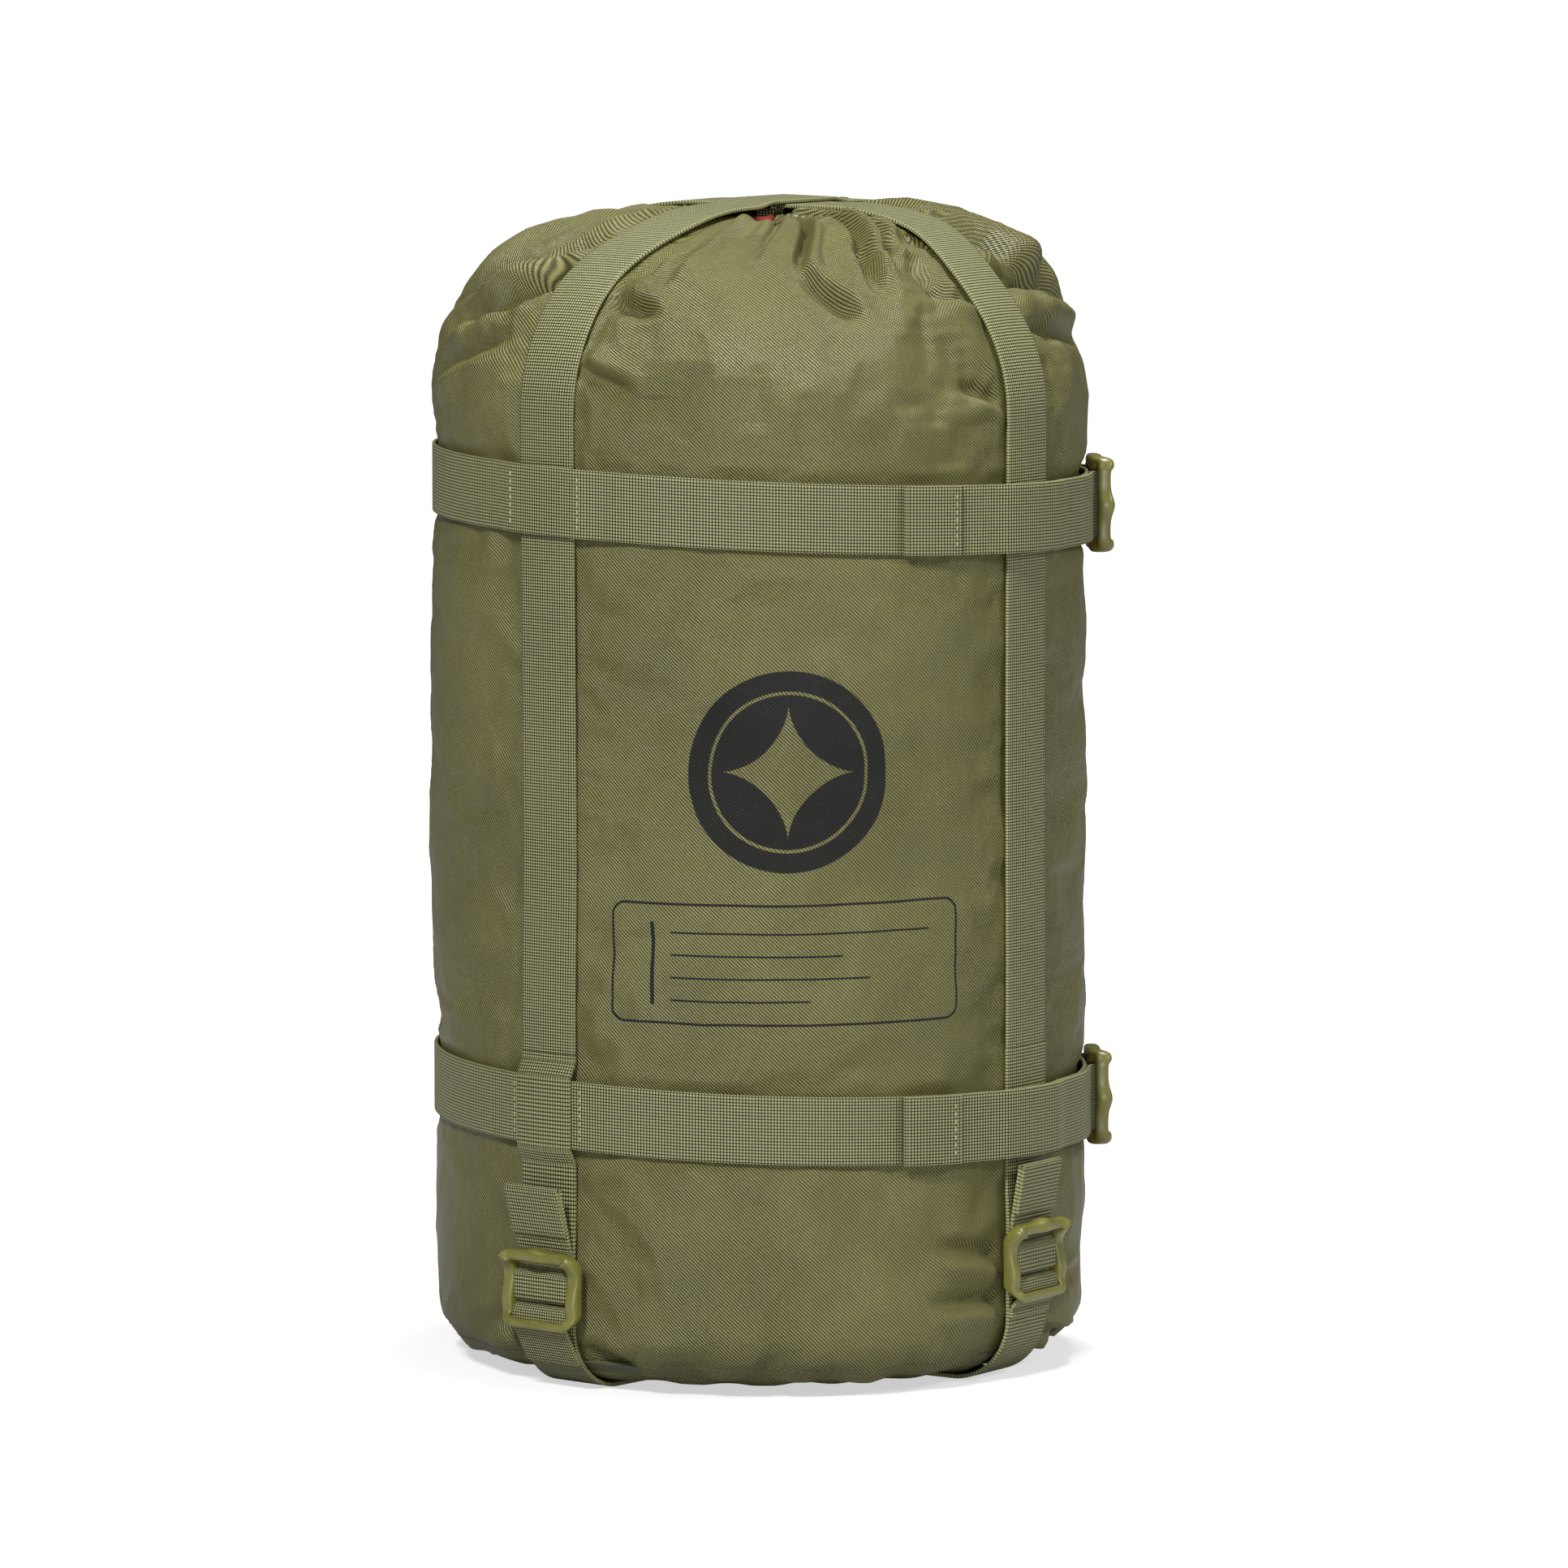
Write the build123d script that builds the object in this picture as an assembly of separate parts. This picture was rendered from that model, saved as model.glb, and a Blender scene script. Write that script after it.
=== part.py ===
from build123d import *

import os
from math import asin, cos, degrees, hypot, radians, sin, sqrt

# A stuffed, strapped compression sack. Millimetres, +Z up, origin on the floor under the base's centre.
# The print side faces -Y. An azimuth is an angle about Z that starts at -Y and grows towards +X.

# The sack's own shape
sack_radius = 120.0
sack_height = 434.0
fabric_thickness = 0.6
base_corner_radius = 22.0
seam_angle = 38.0  # where the base seam lies on the base corner, from straight down
binding_width = 8.0
binding_thickness = 1.4
shoulder_height = 72.0  # from the top down to where the wall starts to round over
crown_radius = 30.0  # where the rounded shoulder meets the flat crown
mouth_dip = 6.0  # how far the gathered mouth lies under the crown
mouth_radius = 21.0  # to the middle of the hem

# Hem, drawcord and cord lock
hem_outer_radius = 4.0
cord_diameter = 3.2
cord_play = 0.4
cord_bend = 2.8  # the middle line's radius where each end turns out of the hem
cord_tail = 4.0  # from the lock to the knot
knot_radius = 3.3
lock_radius = 5.5
lock_wall = 1.2
lock_head = 1.6  # from the cord hole to the lock's open end
lock_centre_y = 3.0
plunger_play = 0.2
plunger_floor = 2.0  # the plunger's thickness between the cords and the spring
plunger_travel = 4.0
button_height = 5.0
spring_wire = 0.7
spring_turns = 3
tab_width = 10.0
tab_length = 4.8
tab_offset = 3.0

# The load that fills the sack, in two bundles
load_play = 0.4
load_rise = 1.0  # how far the load swells up inside the gathered mouth
load_split = 0.55  # the height share at which the lower bundle ends
bundle_gap = 0.8

# Webbing
webbing_width = 25.4
webbing_thickness = 1.4
webbing_play = 0.3
fold_gap = 0.12
hem_fold_length = 22.0  # of a belt's tail
tail_fold_length = 18.0  # of a long strap's tail
shoulder_steps = 5  # corners that take a long strap over the shoulder
shoulder_fillet = 56.0

# Ladder lock
bar_radius = 1.75
bar_play = 0.15
rail_thickness = 4.2
rail_play = 0.6
lock_bar_width = 4.0
lock_bar_height = 2.4
lip_width = 3.6
lip_height = 2.8
lip_rise = 2.6  # how far the thumb lip stands over the rails
turn_gap = 0.4  # between the two webbings inside a lock
turn_run = 2.4  # of straight webbing between its turn and the locking bar
lip_reach = 10.3  # from the locking bar to the lip bar
lock_bar_play = 0.1  # between the locking bar and the webbing over it
lock_turn_radius = webbing_thickness / 2 + lock_bar_height / 2 + 0.3
lock_turn = bar_radius + bar_play + 1.5 * webbing_thickness + turn_gap
lock_pitch = lock_turn + lock_turn_radius + turn_run + lock_bar_width / 2  # from the fixed bar
lip_pitch = lock_pitch + lip_reach

# Where things are
strap_azimuths = {"a": -45.0, "b": 50.5}
front_bar_heights = {"a": 29.5, "b": 37.0}
back_bar_heights = {"a": 37.0, "b": 37.0}
lower_belt_height = 97.0
upper_belt_drop = 112.0  # from the sack's top down to the upper belt's middle
belt_lock_azimuth = 89.0
belt_start_azimuth = 136.0
belt_anchor_azimuth = 121.0
belt_tail_azimuth = 21.0
thread_diameter = 0.7
channel_play = 3.0  # between a long strap's edge and the sewn lines beside it
# Each tail's fold: how far under the lower belt it ends, and how far it stands off the fabric.
front_tails = {"a": (6.8, 9.5), "b": (1.8, 6.5)}
back_tails = {"a": (4.0, 6.0), "b": (2.5, 6.0)}

# Layers are offsets of a webbing's middle line from the fabric.
belt_heights = {"lower": lower_belt_height, "upper": sack_height - upper_belt_drop}
belt_low_edge = lower_belt_height - webbing_width / 2
belt_high_edge = lower_belt_height + webbing_width / 2
layer = webbing_thickness + webbing_play
first_layer = webbing_play + webbing_thickness / 2
edge_rise = hypot(sack_radius + layer, webbing_width / 2) - sack_radius - layer  # of a flat strap's edges
belt_layer = first_layer + layer + edge_rise
over_layer = belt_layer + layer
bar_offset = first_layer + bar_radius + bar_play + webbing_thickness / 2
base_height = 2 * webbing_thickness + webbing_play  # the base panel lies on two crossed straps
flat_radius = sack_radius - base_corner_radius
wall_foot = base_height + base_corner_radius
base_strap_corner = wall_foot - webbing_thickness / 2

os.makedirs("parts", exist_ok=True)


def keep(solid, name):
    solid.label = name
    export_step(solid, f"parts/{name}.step")
    print(f"{name}: {solid.volume:.1f} mm3")
    return solid


def out(azimuth):
    """The outward direction at an azimuth."""
    return Vector(sin(radians(azimuth)), -cos(radians(azimuth)), 0)


def spun(outline):
    """A solid of revolution about Z, from a closed outline of (radius, height) edges."""
    return revolve(Plane.XZ * make_face(outline), Axis.Z)


# ---- fabric --------------------------------------------------------------------------------------------------------


def shell_line(inset):
    """The sack's outline from the base's middle to the mouth, moved inwards by inset: (radius, height) curves."""
    low = base_height + inset
    foot = Line((0, low), (flat_radius, low))
    corner = CenterArc((flat_radius, wall_foot), base_corner_radius - inset, -90, 90)
    shoulder_foot = sack_height - shoulder_height
    wall = Line((sack_radius - inset, wall_foot), (sack_radius - inset, shoulder_foot))
    shoulder = EllipticalCenterArc(
        (crown_radius, shoulder_foot),
        sack_radius - inset - crown_radius,
        shoulder_height - inset,
        start_angle=0,
        arc_size=90,
    )
    return foot, corner, wall, shoulder


def crown_curve(inset):
    """From the shoulder's top down into the gathered mouth."""
    rim = mouth_radius + hem_outer_radius + webbing_play
    mouth_height = sack_height - mouth_dip
    return Spline(
        (crown_radius, sack_height - inset),
        (rim, mouth_height - inset),
        tangents=[(-1, 0), (-0.5, -1)],
    )


def side_panel():
    corner = [
        CenterArc((flat_radius, wall_foot), base_corner_radius - d, seam_angle - 90, 90 - seam_angle)
        for d in (0, fabric_thickness)
    ]
    _, _, wall, shoulder = shell_line(0)
    _, _, wall_in, shoulder_in = shell_line(fabric_thickness)
    crown, crown_in = crown_curve(0), crown_curve(fabric_thickness)
    outline = [corner[0], wall, shoulder, crown, corner[1], wall_in, shoulder_in, crown_in]
    outline += [Line(corner[0] @ 0, corner[1] @ 0), Line(crown @ 1, crown_in @ 1)]
    return spun(outline)


def base_panel():
    gap = degrees(webbing_play / base_corner_radius)
    foot, _, _, _ = shell_line(0)
    foot_in, _, _, _ = shell_line(fabric_thickness)
    corners = [
        CenterArc((flat_radius, wall_foot), base_corner_radius - d, -90, seam_angle - gap)
        for d in (0, fabric_thickness)
    ]
    outline = [foot, corners[0], foot_in, corners[1]]
    outline += [Line(foot @ 0, foot_in @ 0), Line(corners[0] @ 1, corners[1] @ 1)]
    return spun(outline)


def seam_binding():
    """A tape inside the corner, over both panels' edges."""
    near = fabric_thickness + 0.1
    half_angle = degrees(binding_width / 2 / base_corner_radius)
    start = seam_angle - 90 - half_angle
    centre = (flat_radius, wall_foot)
    near_edge, far_edge = (
        CenterArc(centre, base_corner_radius - d, start, 2 * half_angle) for d in (near, near + binding_thickness)
    )
    ends = [Line(near_edge @ t, far_edge @ t) for t in (0, 1)]
    return spun([near_edge, far_edge, *ends])


# ---- mouth ---------------------------------------------------------------------------------------------------------

mouth_height = sack_height - mouth_dip
hem_place = Location((0, 0, mouth_height))
cord_channel_radius = cord_diameter / 2 + cord_play
cord_spread = cord_diameter + cord_play  # between the two cord ends' middle lines

# The lock lies across the mouth. Its own axis runs along X, and the lengths below are measured along it.
lock_place = hem_place * Pos(0, lock_centre_y, 0) * Rot(0, 90, 0)
hole_width = cord_diameter + cord_play
hole_length = cord_spread + hole_width
plunger_radius = lock_radius - lock_wall - plunger_play
plunger_foot = -hole_length / 2 - plunger_floor
spring_room = plunger_travel + spring_turns * spring_wire + 0.6
lock_foot = plunger_foot - spring_room - lock_wall
lock_length = hole_length / 2 + lock_head - lock_foot


def cord_exit():
    """Where each cord end leaves its ring: the bend centre's height over the axis, and the ring's cut angle."""
    across = cord_spread / 2 + cord_bend
    reach = mouth_radius - cord_bend
    return sqrt(reach**2 - across**2), degrees(asin(across / reach))


def mouth_hem():
    ring = Torus(mouth_radius, hem_outer_radius) - Torus(mouth_radius, cord_channel_radius)
    _, turn = cord_exit()
    half_slot = mouth_radius * sin(radians(turn)) + cord_channel_radius
    slot = Pos(0, mouth_radius - hem_outer_radius, 0) * Box(2 * half_slot, 2 * hem_outer_radius, 2 * cord_channel_radius)
    return hem_place * (ring - slot)


def drawcord():
    """One cord: round the channel, in through the slot, through the lock and into one knot."""
    x = cord_spread / 2
    y, turn = cord_exit()
    end_y = lock_centre_y - lock_radius - cord_tail
    path = Wire(
        [
            Line((x, end_y), (x, y)),
            CenterArc((x + cord_bend, y), cord_bend, 180, -(90 + turn)),
            CenterArc((0, 0), mouth_radius, 90 - turn, -(360 - 2 * turn)),
            CenterArc((-x - cord_bend, y), cord_bend, 90 + turn, -(90 + turn)),
            Line((-x, y), (-x, end_y)),
        ]
    )
    start = Plane(origin=(x, end_y, 0), z_dir=(0, 1, 0))
    cord = sweep(start * Circle(cord_diameter / 2), path)
    return hem_place * (cord + Pos(0, end_y, 0) * Sphere(knot_radius))


def barrel(radius, foot, length):
    """A cylinder along the lock's own axis."""
    return Pos(0, 0, foot) * Cylinder(radius, length, align=(Align.CENTER, Align.CENTER, Align.MIN))


def cord_lock_body():
    shell = barrel(lock_radius, lock_foot, lock_length)
    shell = fillet(shell.edges().filter_by(GeomType.CIRCLE), lock_wall / 2)
    well = barrel(plunger_radius + plunger_play, lock_foot + lock_wall, lock_length)
    return lock_place * (shell - well - Box(hole_width, 4 * lock_radius, hole_length))


def cord_lock_plunger():
    stem = barrel(plunger_radius, plunger_foot, hole_length / 2 + lock_head + button_height - plunger_foot)
    stem = fillet(stem.edges().sort_by(Axis.Z)[-1], 1.2)
    window = Pos(0, 0, plunger_travel / 2) * Box(hole_width, 4 * lock_radius, hole_length + plunger_travel)
    return lock_place * (stem - window)


def cord_lock_spring():
    foot = lock_foot + lock_wall + spring_wire / 2 + 0.05
    rise = plunger_foot - spring_wire / 2 - 0.05 - foot
    coil = Helix(pitch=rise / spring_turns, height=rise, radius=plunger_radius - spring_wire)
    section = Plane(origin=coil @ 0, z_dir=coil % 0) * Circle(spring_wire / 2)
    return lock_place * Pos(0, 0, foot) * sweep(section, coil, is_frenet=True)


def hem_tab():
    """A short webbing tab that stands behind the hem's front."""
    inner = mouth_radius - hem_outer_radius - 0.1
    y = webbing_thickness / 2 - sqrt(inner**2 - (tab_offset + tab_width / 2) ** 2)
    tab = Pos(tab_offset, y, load_rise + 0.1) * Box(
        tab_width, webbing_thickness, tab_length, align=(Align.CENTER, Align.CENTER, Align.MIN)
    )
    return hem_place * fillet(tab.edges().filter_by(Axis.X), 0.5)


# ---- load ----------------------------------------------------------------------------------------------------------


def lock_pocket():
    """The room that the cord lock, its cords and their knot take up in the load."""
    play = load_play + 0.2
    low = mouth_height - lock_radius - play
    button_end = hole_length / 2 + lock_head + button_height

    def pit(west, east, south, north, floor):
        size = (east - west, north - south, 4 * lock_radius)
        middle = ((east + west) / 2, (north + south) / 2, floor)
        return Pos(*middle) * Box(*size, align=(Align.CENTER, Align.CENTER, Align.MIN))

    lock_room = lock_radius + play
    cord_room = cord_spread / 2 + cord_diameter / 2 + play
    knot = lock_centre_y - lock_radius - cord_tail
    knot_room = knot_radius + play
    return (
        pit(lock_foot - play, button_end + play, lock_centre_y - lock_room, lock_centre_y + lock_room, low)
        + pit(-cord_room, cord_room, knot, mouth_radius, mouth_height - cord_diameter / 2 - play)
        + pit(-knot_room, knot_room, knot - knot_room, knot + knot_room, mouth_height - knot_room)
    )


def load_bundles():
    inset = fabric_thickness + binding_thickness + load_play
    foot, corner, wall, shoulder = shell_line(inset)
    hem_room = hem_outer_radius + load_play
    outer, inner = mouth_radius + hem_room, mouth_radius - hem_room
    top = mouth_height + load_rise
    rim = [
        shoulder @ 1,
        (outer, mouth_height - fabric_thickness - load_play),
        (outer, mouth_height - hem_room),
        (inner, mouth_height - hem_room),
        (inner, top),
        (0, top),
    ]
    whole = spun([foot, corner, wall, shoulder, *Polyline(*rim).edges(), Line((0, top), foot @ 0)])
    whole = whole - lock_pocket()
    split = base_height + load_split * (sack_height - base_height)
    cutter = Box(3 * sack_radius, 3 * sack_radius, sack_height, align=(Align.CENTER, Align.CENTER, Align.MAX))
    lower = whole & Pos(0, 0, split - bundle_gap / 2) * cutter
    upper = whole - Pos(0, 0, split + bundle_gap / 2) * cutter
    return lower, upper


# ---- webbing -------------------------------------------------------------------------------------------------------


def ribbon(path, start, direction, across):
    """Webbing along a flat wire: a thin, wide rectangle swept from the wire's start."""
    section = Plane(origin=start, x_dir=across, z_dir=direction) * Rectangle(webbing_width, webbing_thickness)
    return sweep(section, path)


def rounded(points, radii):
    """Straight runs joined by tangent arcs, as one wire."""
    return FilletPolyline(*points, radius=radii)


def ladder_run(tail_end, fold_length):
    """The webbing's way through a ladder lock, as (along, outward) corners and radii.

    It comes down under the lip and the locking bar, turns round the locking bar, goes back under the lip
    and ends in a tail whose end is folded over. Along is measured from the fixed bar towards the lip."""
    over = first_layer + 2 * lock_turn_radius
    back = first_layer + layer
    tail_along, tail_out = tail_end
    fold = webbing_thickness + fold_gap
    slope = hypot(tail_along - lip_pitch - 2, tail_out - back)
    unit = ((tail_along - lip_pitch - 2) / slope, (tail_out - back) / slope)
    side = (-unit[1], unit[0])
    fold_corner = (tail_along + side[0] * fold, tail_out + side[1] * fold)
    fold_end = (
        fold_corner[0] - unit[0] * fold_length,
        fold_corner[1] - unit[1] * fold_length,
    )
    points = [
        (lock_turn, first_layer),
        (lock_turn, over),
        (lock_pitch + lock_bar_width / 2 + 1.2, over),
        (lock_pitch + lock_bar_width / 2 + 3.6, back),
        (lip_pitch + 2, back),
        (tail_along, tail_out),
        fold_corner,
        fold_end,
    ]
    radii = [lock_turn_radius - 0.01] * 2 + [1.6, 1.6, 6.0] + [fold / 2 - 0.01] * 2
    return points, radii


def top_strap(name, azimuth, over_lower_belt):
    """One long strap in its own vertical plane: x is outwards at the azimuth, y is up."""
    plane = Plane(origin=(0, 0, 0), x_dir=out(azimuth), z_dir=out(azimuth).cross(Vector(0, 0, 1)))
    bars = (front_bar_heights[name], back_bar_heights[name])
    cross_lift = {"a": layer, "b": 0.0}[name]
    halves = []
    ends = (front_tails[name], back_tails[name])
    for side, bar, (under_belt, outward), over in zip((1, -1), bars, ends, (over_lower_belt, False)):
        corners, radii = ladder_run((belt_low_edge - under_belt - bar, outward), tail_fold_length)
        low = [(side * (sack_radius + n), bar + v) for v, n in corners]
        bump = []
        bump_radii = []
        if over:
            bump = [
                (side * (sack_radius + first_layer), belt_low_edge - 5),
                (side * (sack_radius + over_layer), belt_low_edge - 1.5),
                (side * (sack_radius + over_layer), belt_high_edge + 1.5),
                (side * (sack_radius + first_layer), belt_high_edge + 5),
            ]
            bump_radii = [1.8, 1.8, 1.8, 1.8]
        halves.append((low, radii, bump, bump_radii))
    top = sack_height + first_layer
    shoulder_foot = sack_height - shoulder_height
    reach = sack_radius + first_layer

    def over_the_top(side):
        """The shoulder, as corners on an ellipse that is tangent to the wall and to the crown."""
        rx, rz = reach - crown_radius, shoulder_height + first_layer
        corners = []
        for n in range(1, shoulder_steps + 1):
            t = radians(90 * (n - 0.5) / shoulder_steps)
            scale = 1 / cos(radians(45 / shoulder_steps))
            corners.append((side * (crown_radius + rx * cos(t) * scale), shoulder_foot + rz * sin(t) * scale))
        return corners

    front, back = halves
    points = list(reversed(front[0]))
    rads = list(reversed(front[1]))
    points += front[2]
    rads += front[3]
    points += over_the_top(1)
    rads += [shoulder_fillet] * shoulder_steps
    if cross_lift:
        points += [(26, top), (19, top + cross_lift), (-19, top + cross_lift), (-26, top)]
        rads += [4.0] * 4
    points += list(reversed(over_the_top(-1)))
    rads += [shoulder_fillet] * shoulder_steps
    points += back[2]
    rads += back[3]
    points += back[0]
    rads += back[1]
    path = rounded(points, rads)
    world = plane * path
    start = world @ 0
    direction = world % 0
    return ribbon(world, start, direction, plane.z_dir)


def loop_start():
    """The way round a fixed bar, as (along, outward) corners and radii, from the run under the bar."""
    wrap = bar_radius + bar_play + webbing_thickness / 2
    outer = bar_offset + wrap
    return [(wrap, first_layer), (wrap, outer)], [wrap - 0.01, wrap - 0.01], wrap, outer


def base_loop(bar):
    """A base strap's loop in its vertical plane: up the wall, round the bar and down on to itself."""
    corners, radii, wrap, outer = loop_start()
    points = [(sack_radius + n, bar + v) for v, n in corners]
    on_itself = webbing_thickness + fold_gap
    landing = bar - wrap - 6.0
    corner = base_strap_corner
    if landing > wall_foot:
        wall = sack_radius + first_layer + on_itself
        points += [(sack_radius + outer, bar - wrap - 1.5), (wall, landing), (wall, wall_foot)]
        return points, radii + [2.2, 2.2]
    slope = radians(30.0)
    centre = (sack_radius + first_layer - corner, webbing_thickness / 2 + corner)
    touch = (
        centre[0] + (corner + on_itself) * cos(slope),
        centre[1] - (corner + on_itself) * sin(slope),
    )
    rise = (sack_radius + outer - touch[0]) / sin(slope)
    points += [(sack_radius + outer, touch[1] + rise * cos(slope))]
    points += [(touch[0] - 2 * sin(slope), touch[1] - 2 * cos(slope))]
    return points, radii + [3.0]


def base_strap(name, azimuth):
    """The strap under the base, whose ends turn up the wall and loop round the fixed bars."""
    plane = Plane(origin=(0, 0, 0), x_dir=out(azimuth), z_dir=out(azimuth).cross(Vector(0, 0, 1)))
    low = webbing_thickness / 2
    lift = {"a": 0.0, "b": webbing_thickness + fold_gap}[name]
    reach = sack_radius + first_layer
    corner = base_strap_corner
    front, front_radii = base_loop(front_bar_heights[name])
    back, back_radii = base_loop(back_bar_heights[name])
    middle = [(reach, low)]
    middle_radii = [corner]
    if lift:
        middle += [(30, low), (19, low + lift), (-19, low + lift), (-30, low)]
        middle_radii += [6.0] * 4
    middle += [(-reach, low)]
    middle_radii += [corner]
    points = front[::-1] + middle + [(-r, z) for r, z in back]
    world = plane * rounded(points, front_radii[::-1] + middle_radii + back_radii)
    return ribbon(world, world @ 0, world % 0, plane.z_dir)


# ---- ladder locks --------------------------------------------------------------------------------------------------


def ladder_lock():
    """One moulded lock: x across, y from the fixed bar towards the lip, z outwards from the fabric."""
    half_window = webbing_width / 2 + rail_play
    half_width = half_window + rail_thickness
    lip_top = first_layer + 2 * layer + lip_height + 0.1
    lip_low = lip_top - lip_height
    side_view = [
        (-bar_radius - 1.0, bar_offset - 1.7),
        (lip_pitch + 2.4, bar_offset - 1.7),
        (lip_pitch + 2.4, lip_top + lip_rise),
        (lip_pitch - 0.6, lip_top + 0.6),
        (lock_pitch, bar_offset + 1.9),
        (-bar_radius - 1.0, bar_offset + 1.7),
    ]
    outline = Polyline(*side_view, close=True)
    rail = Plane.YZ * make_face(outline)
    rails = []
    for side in (1, -1):
        start = half_window if side > 0 else -half_width
        rails.append(extrude(Pos(start, 0, 0) * rail, amount=rail_thickness, dir=(1, 0, 0)))
    fixed = Pos(0, 0, bar_offset) * Rot(0, 90, 0) * Cylinder(bar_radius, 2 * half_window + 2)
    under_turn = first_layer + 2 * lock_turn_radius - webbing_thickness / 2 - lock_bar_play
    locking = Pos(0, lock_pitch, under_turn - lock_bar_height / 2) * Box(
        2 * half_window + 2, lock_bar_width, lock_bar_height
    )
    locking = fillet(locking.edges().filter_by(Axis.X), 0.8)
    lip_line = [
        (-half_width, lip_pitch - lip_width / 2),
        (half_width, lip_pitch - lip_width / 2),
        (half_width, lip_pitch + lip_width / 2 + 0.6),
        (half_width * 0.45, lip_pitch + lip_width / 2 - 0.6),
        (0, lip_pitch + lip_width / 2 + 1.0),
        (-half_width * 0.45, lip_pitch + lip_width / 2 - 0.6),
        (-half_width, lip_pitch + lip_width / 2 + 0.6),
    ]
    lip = extrude(Pos(0, 0, lip_low) * make_face(Polyline(*lip_line, close=True)), amount=lip_height)
    body = rails[0] + rails[1] + fixed + locking + lip
    return body


def wall_plane(azimuth, height):
    """At the fabric's surface: x across, y up, z outwards."""
    n = out(azimuth)
    return Plane(origin=n * sack_radius + Vector(0, 0, height), x_dir=Vector(0, 0, 1).cross(n), z_dir=n)


# ---- belts ---------------------------------------------------------------------------------------------------------

belt_frame_shift = 8.0  # the belt leaves its circle this far along the lock from the fixed bar
belt_normal = out(belt_lock_azimuth)
belt_along = Vector(-cos(radians(belt_lock_azimuth)), -sin(radians(belt_lock_azimuth)), 0)


def belt_point(along, outward):
    """A point beside a belt's lock, in the belt's plane."""
    return belt_normal * (sack_radius + belt_layer - first_layer + outward) + belt_along * (along - belt_frame_shift)


def ring_point(azimuth, offset):
    return out(azimuth) * (sack_radius + offset)


def ring_arc(start, end, offset):
    """An arc round the sack between two azimuths."""
    return ThreePointArc(
        ring_point(start, offset), ring_point((start + end) / 2, offset), ring_point(end, offset)
    )


def belt_strap(height):
    """The belt: round the back and the front, through the lock, and back in a folded tail."""
    around = [
        ring_arc(belt_start_azimuth, belt_start_azimuth + 150, belt_layer),
        ring_arc(belt_start_azimuth + 150, belt_lock_azimuth + 360, belt_layer),
    ]
    corners, radii = ladder_run((lip_pitch + 10.0, first_layer + layer), hem_fold_length)
    local = [belt_point(*c) for c in corners[:4]]
    tail_start = belt_lock_azimuth - 9.0
    tail_offset = belt_layer + layer
    meet = ring_point(tail_start, tail_offset)
    tangent = Vector(cos(radians(tail_start)), sin(radians(tail_start)), 0)
    join = meet + tangent * 5.0
    through = FilletPolyline(
        belt_point(belt_frame_shift, first_layer), *local[:3], join, meet, radius=radii[:3] + [1.8]
    )
    fold = webbing_thickness + fold_gap
    tail = ring_arc(tail_start, belt_tail_azimuth, tail_offset)
    end = ring_point(belt_tail_azimuth, tail_offset)
    end_tangent = Vector(cos(radians(belt_tail_azimuth)), sin(radians(belt_tail_azimuth)), 0)
    turn = ThreePointArc(
        end,
        ring_point(belt_tail_azimuth, tail_offset + fold / 2) - end_tangent * (fold / 2),
        ring_point(belt_tail_azimuth, tail_offset + fold),
    )
    back_azimuth = belt_tail_azimuth + degrees(hem_fold_length * 1.4 / sack_radius)
    back = ring_arc(belt_tail_azimuth, back_azimuth, tail_offset + fold)
    path = Wire([*around, *through.edges(), tail, turn, back])
    path = Pos(0, 0, height) * path
    start = ring_point(belt_start_azimuth, belt_layer) + Vector(0, 0, height)
    direction = Vector(cos(radians(belt_start_azimuth)), sin(radians(belt_start_azimuth)), 0)
    return ribbon(path, start, direction, Vector(0, 0, 1))


def belt_anchor(height):
    """The short webbing that holds a belt's lock: sewn to the panel, looped round the fixed bar."""
    points, radii, wrap, outer = loop_start()
    local = [belt_point(*p) for p in points + [(-wrap - 1.5, outer)]]
    land = belt_lock_azimuth + 9.0
    meet = ring_point(land, belt_layer)
    tangent = Vector(cos(radians(land)), sin(radians(land)), 0)
    close = webbing_thickness + fold_gap
    under = ring_arc(belt_anchor_azimuth, land, belt_layer)
    lead = [meet, meet - tangent * 4.0, local[0], local[1], local[2]]
    back_land = belt_lock_azimuth + 12.5
    back_meet = ring_point(back_land, belt_layer + close)
    back_tangent = Vector(cos(radians(back_land)), sin(radians(back_land)), 0)
    lead += [back_meet - back_tangent * 4.0, back_meet]
    loop = FilletPolyline(*lead, radius=[6.0, radii[0], radii[1], 2.2, 2.2])
    over = ring_arc(back_land, belt_anchor_azimuth, belt_layer + close)
    path = Pos(0, 0, height) * Wire([under, *loop.edges(), over])
    start = ring_point(belt_anchor_azimuth, belt_layer) + Vector(0, 0, height)
    direction = Vector(-cos(radians(belt_anchor_azimuth)), -sin(radians(belt_anchor_azimuth)), 0)
    return ribbon(path, start, direction, Vector(0, 0, 1))


def belt_stitching(height):
    """Sewn lines across a belt: on both sides of each long strap, and across the tail's fold."""
    half_channel = degrees((webbing_width / 2 + channel_play) / sack_radius)
    lines = []
    for azimuth in strap_azimuths.values():
        for turn in (0, 180):
            lines += [(azimuth + turn + side * half_channel, belt_layer) for side in (1, -1)]
    fold_end = belt_tail_azimuth + degrees(hem_fold_length / sack_radius)
    stitched = [
        (a, offset) for a, offset in lines if not belt_tail_azimuth - 3 < a < belt_lock_azimuth + 12
    ]
    stitched += [(fold_end, belt_layer + layer + webbing_thickness + fold_gap)]
    group = []
    for a, offset in stitched:
        place = ring_point(a, offset + (webbing_thickness + thread_diameter) / 2 + 0.05)
        group.append(Pos(*place) * Pos(0, 0, height) * Cylinder(thread_diameter / 2, webbing_width - 2.0))
    return Compound(children=group)


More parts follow.
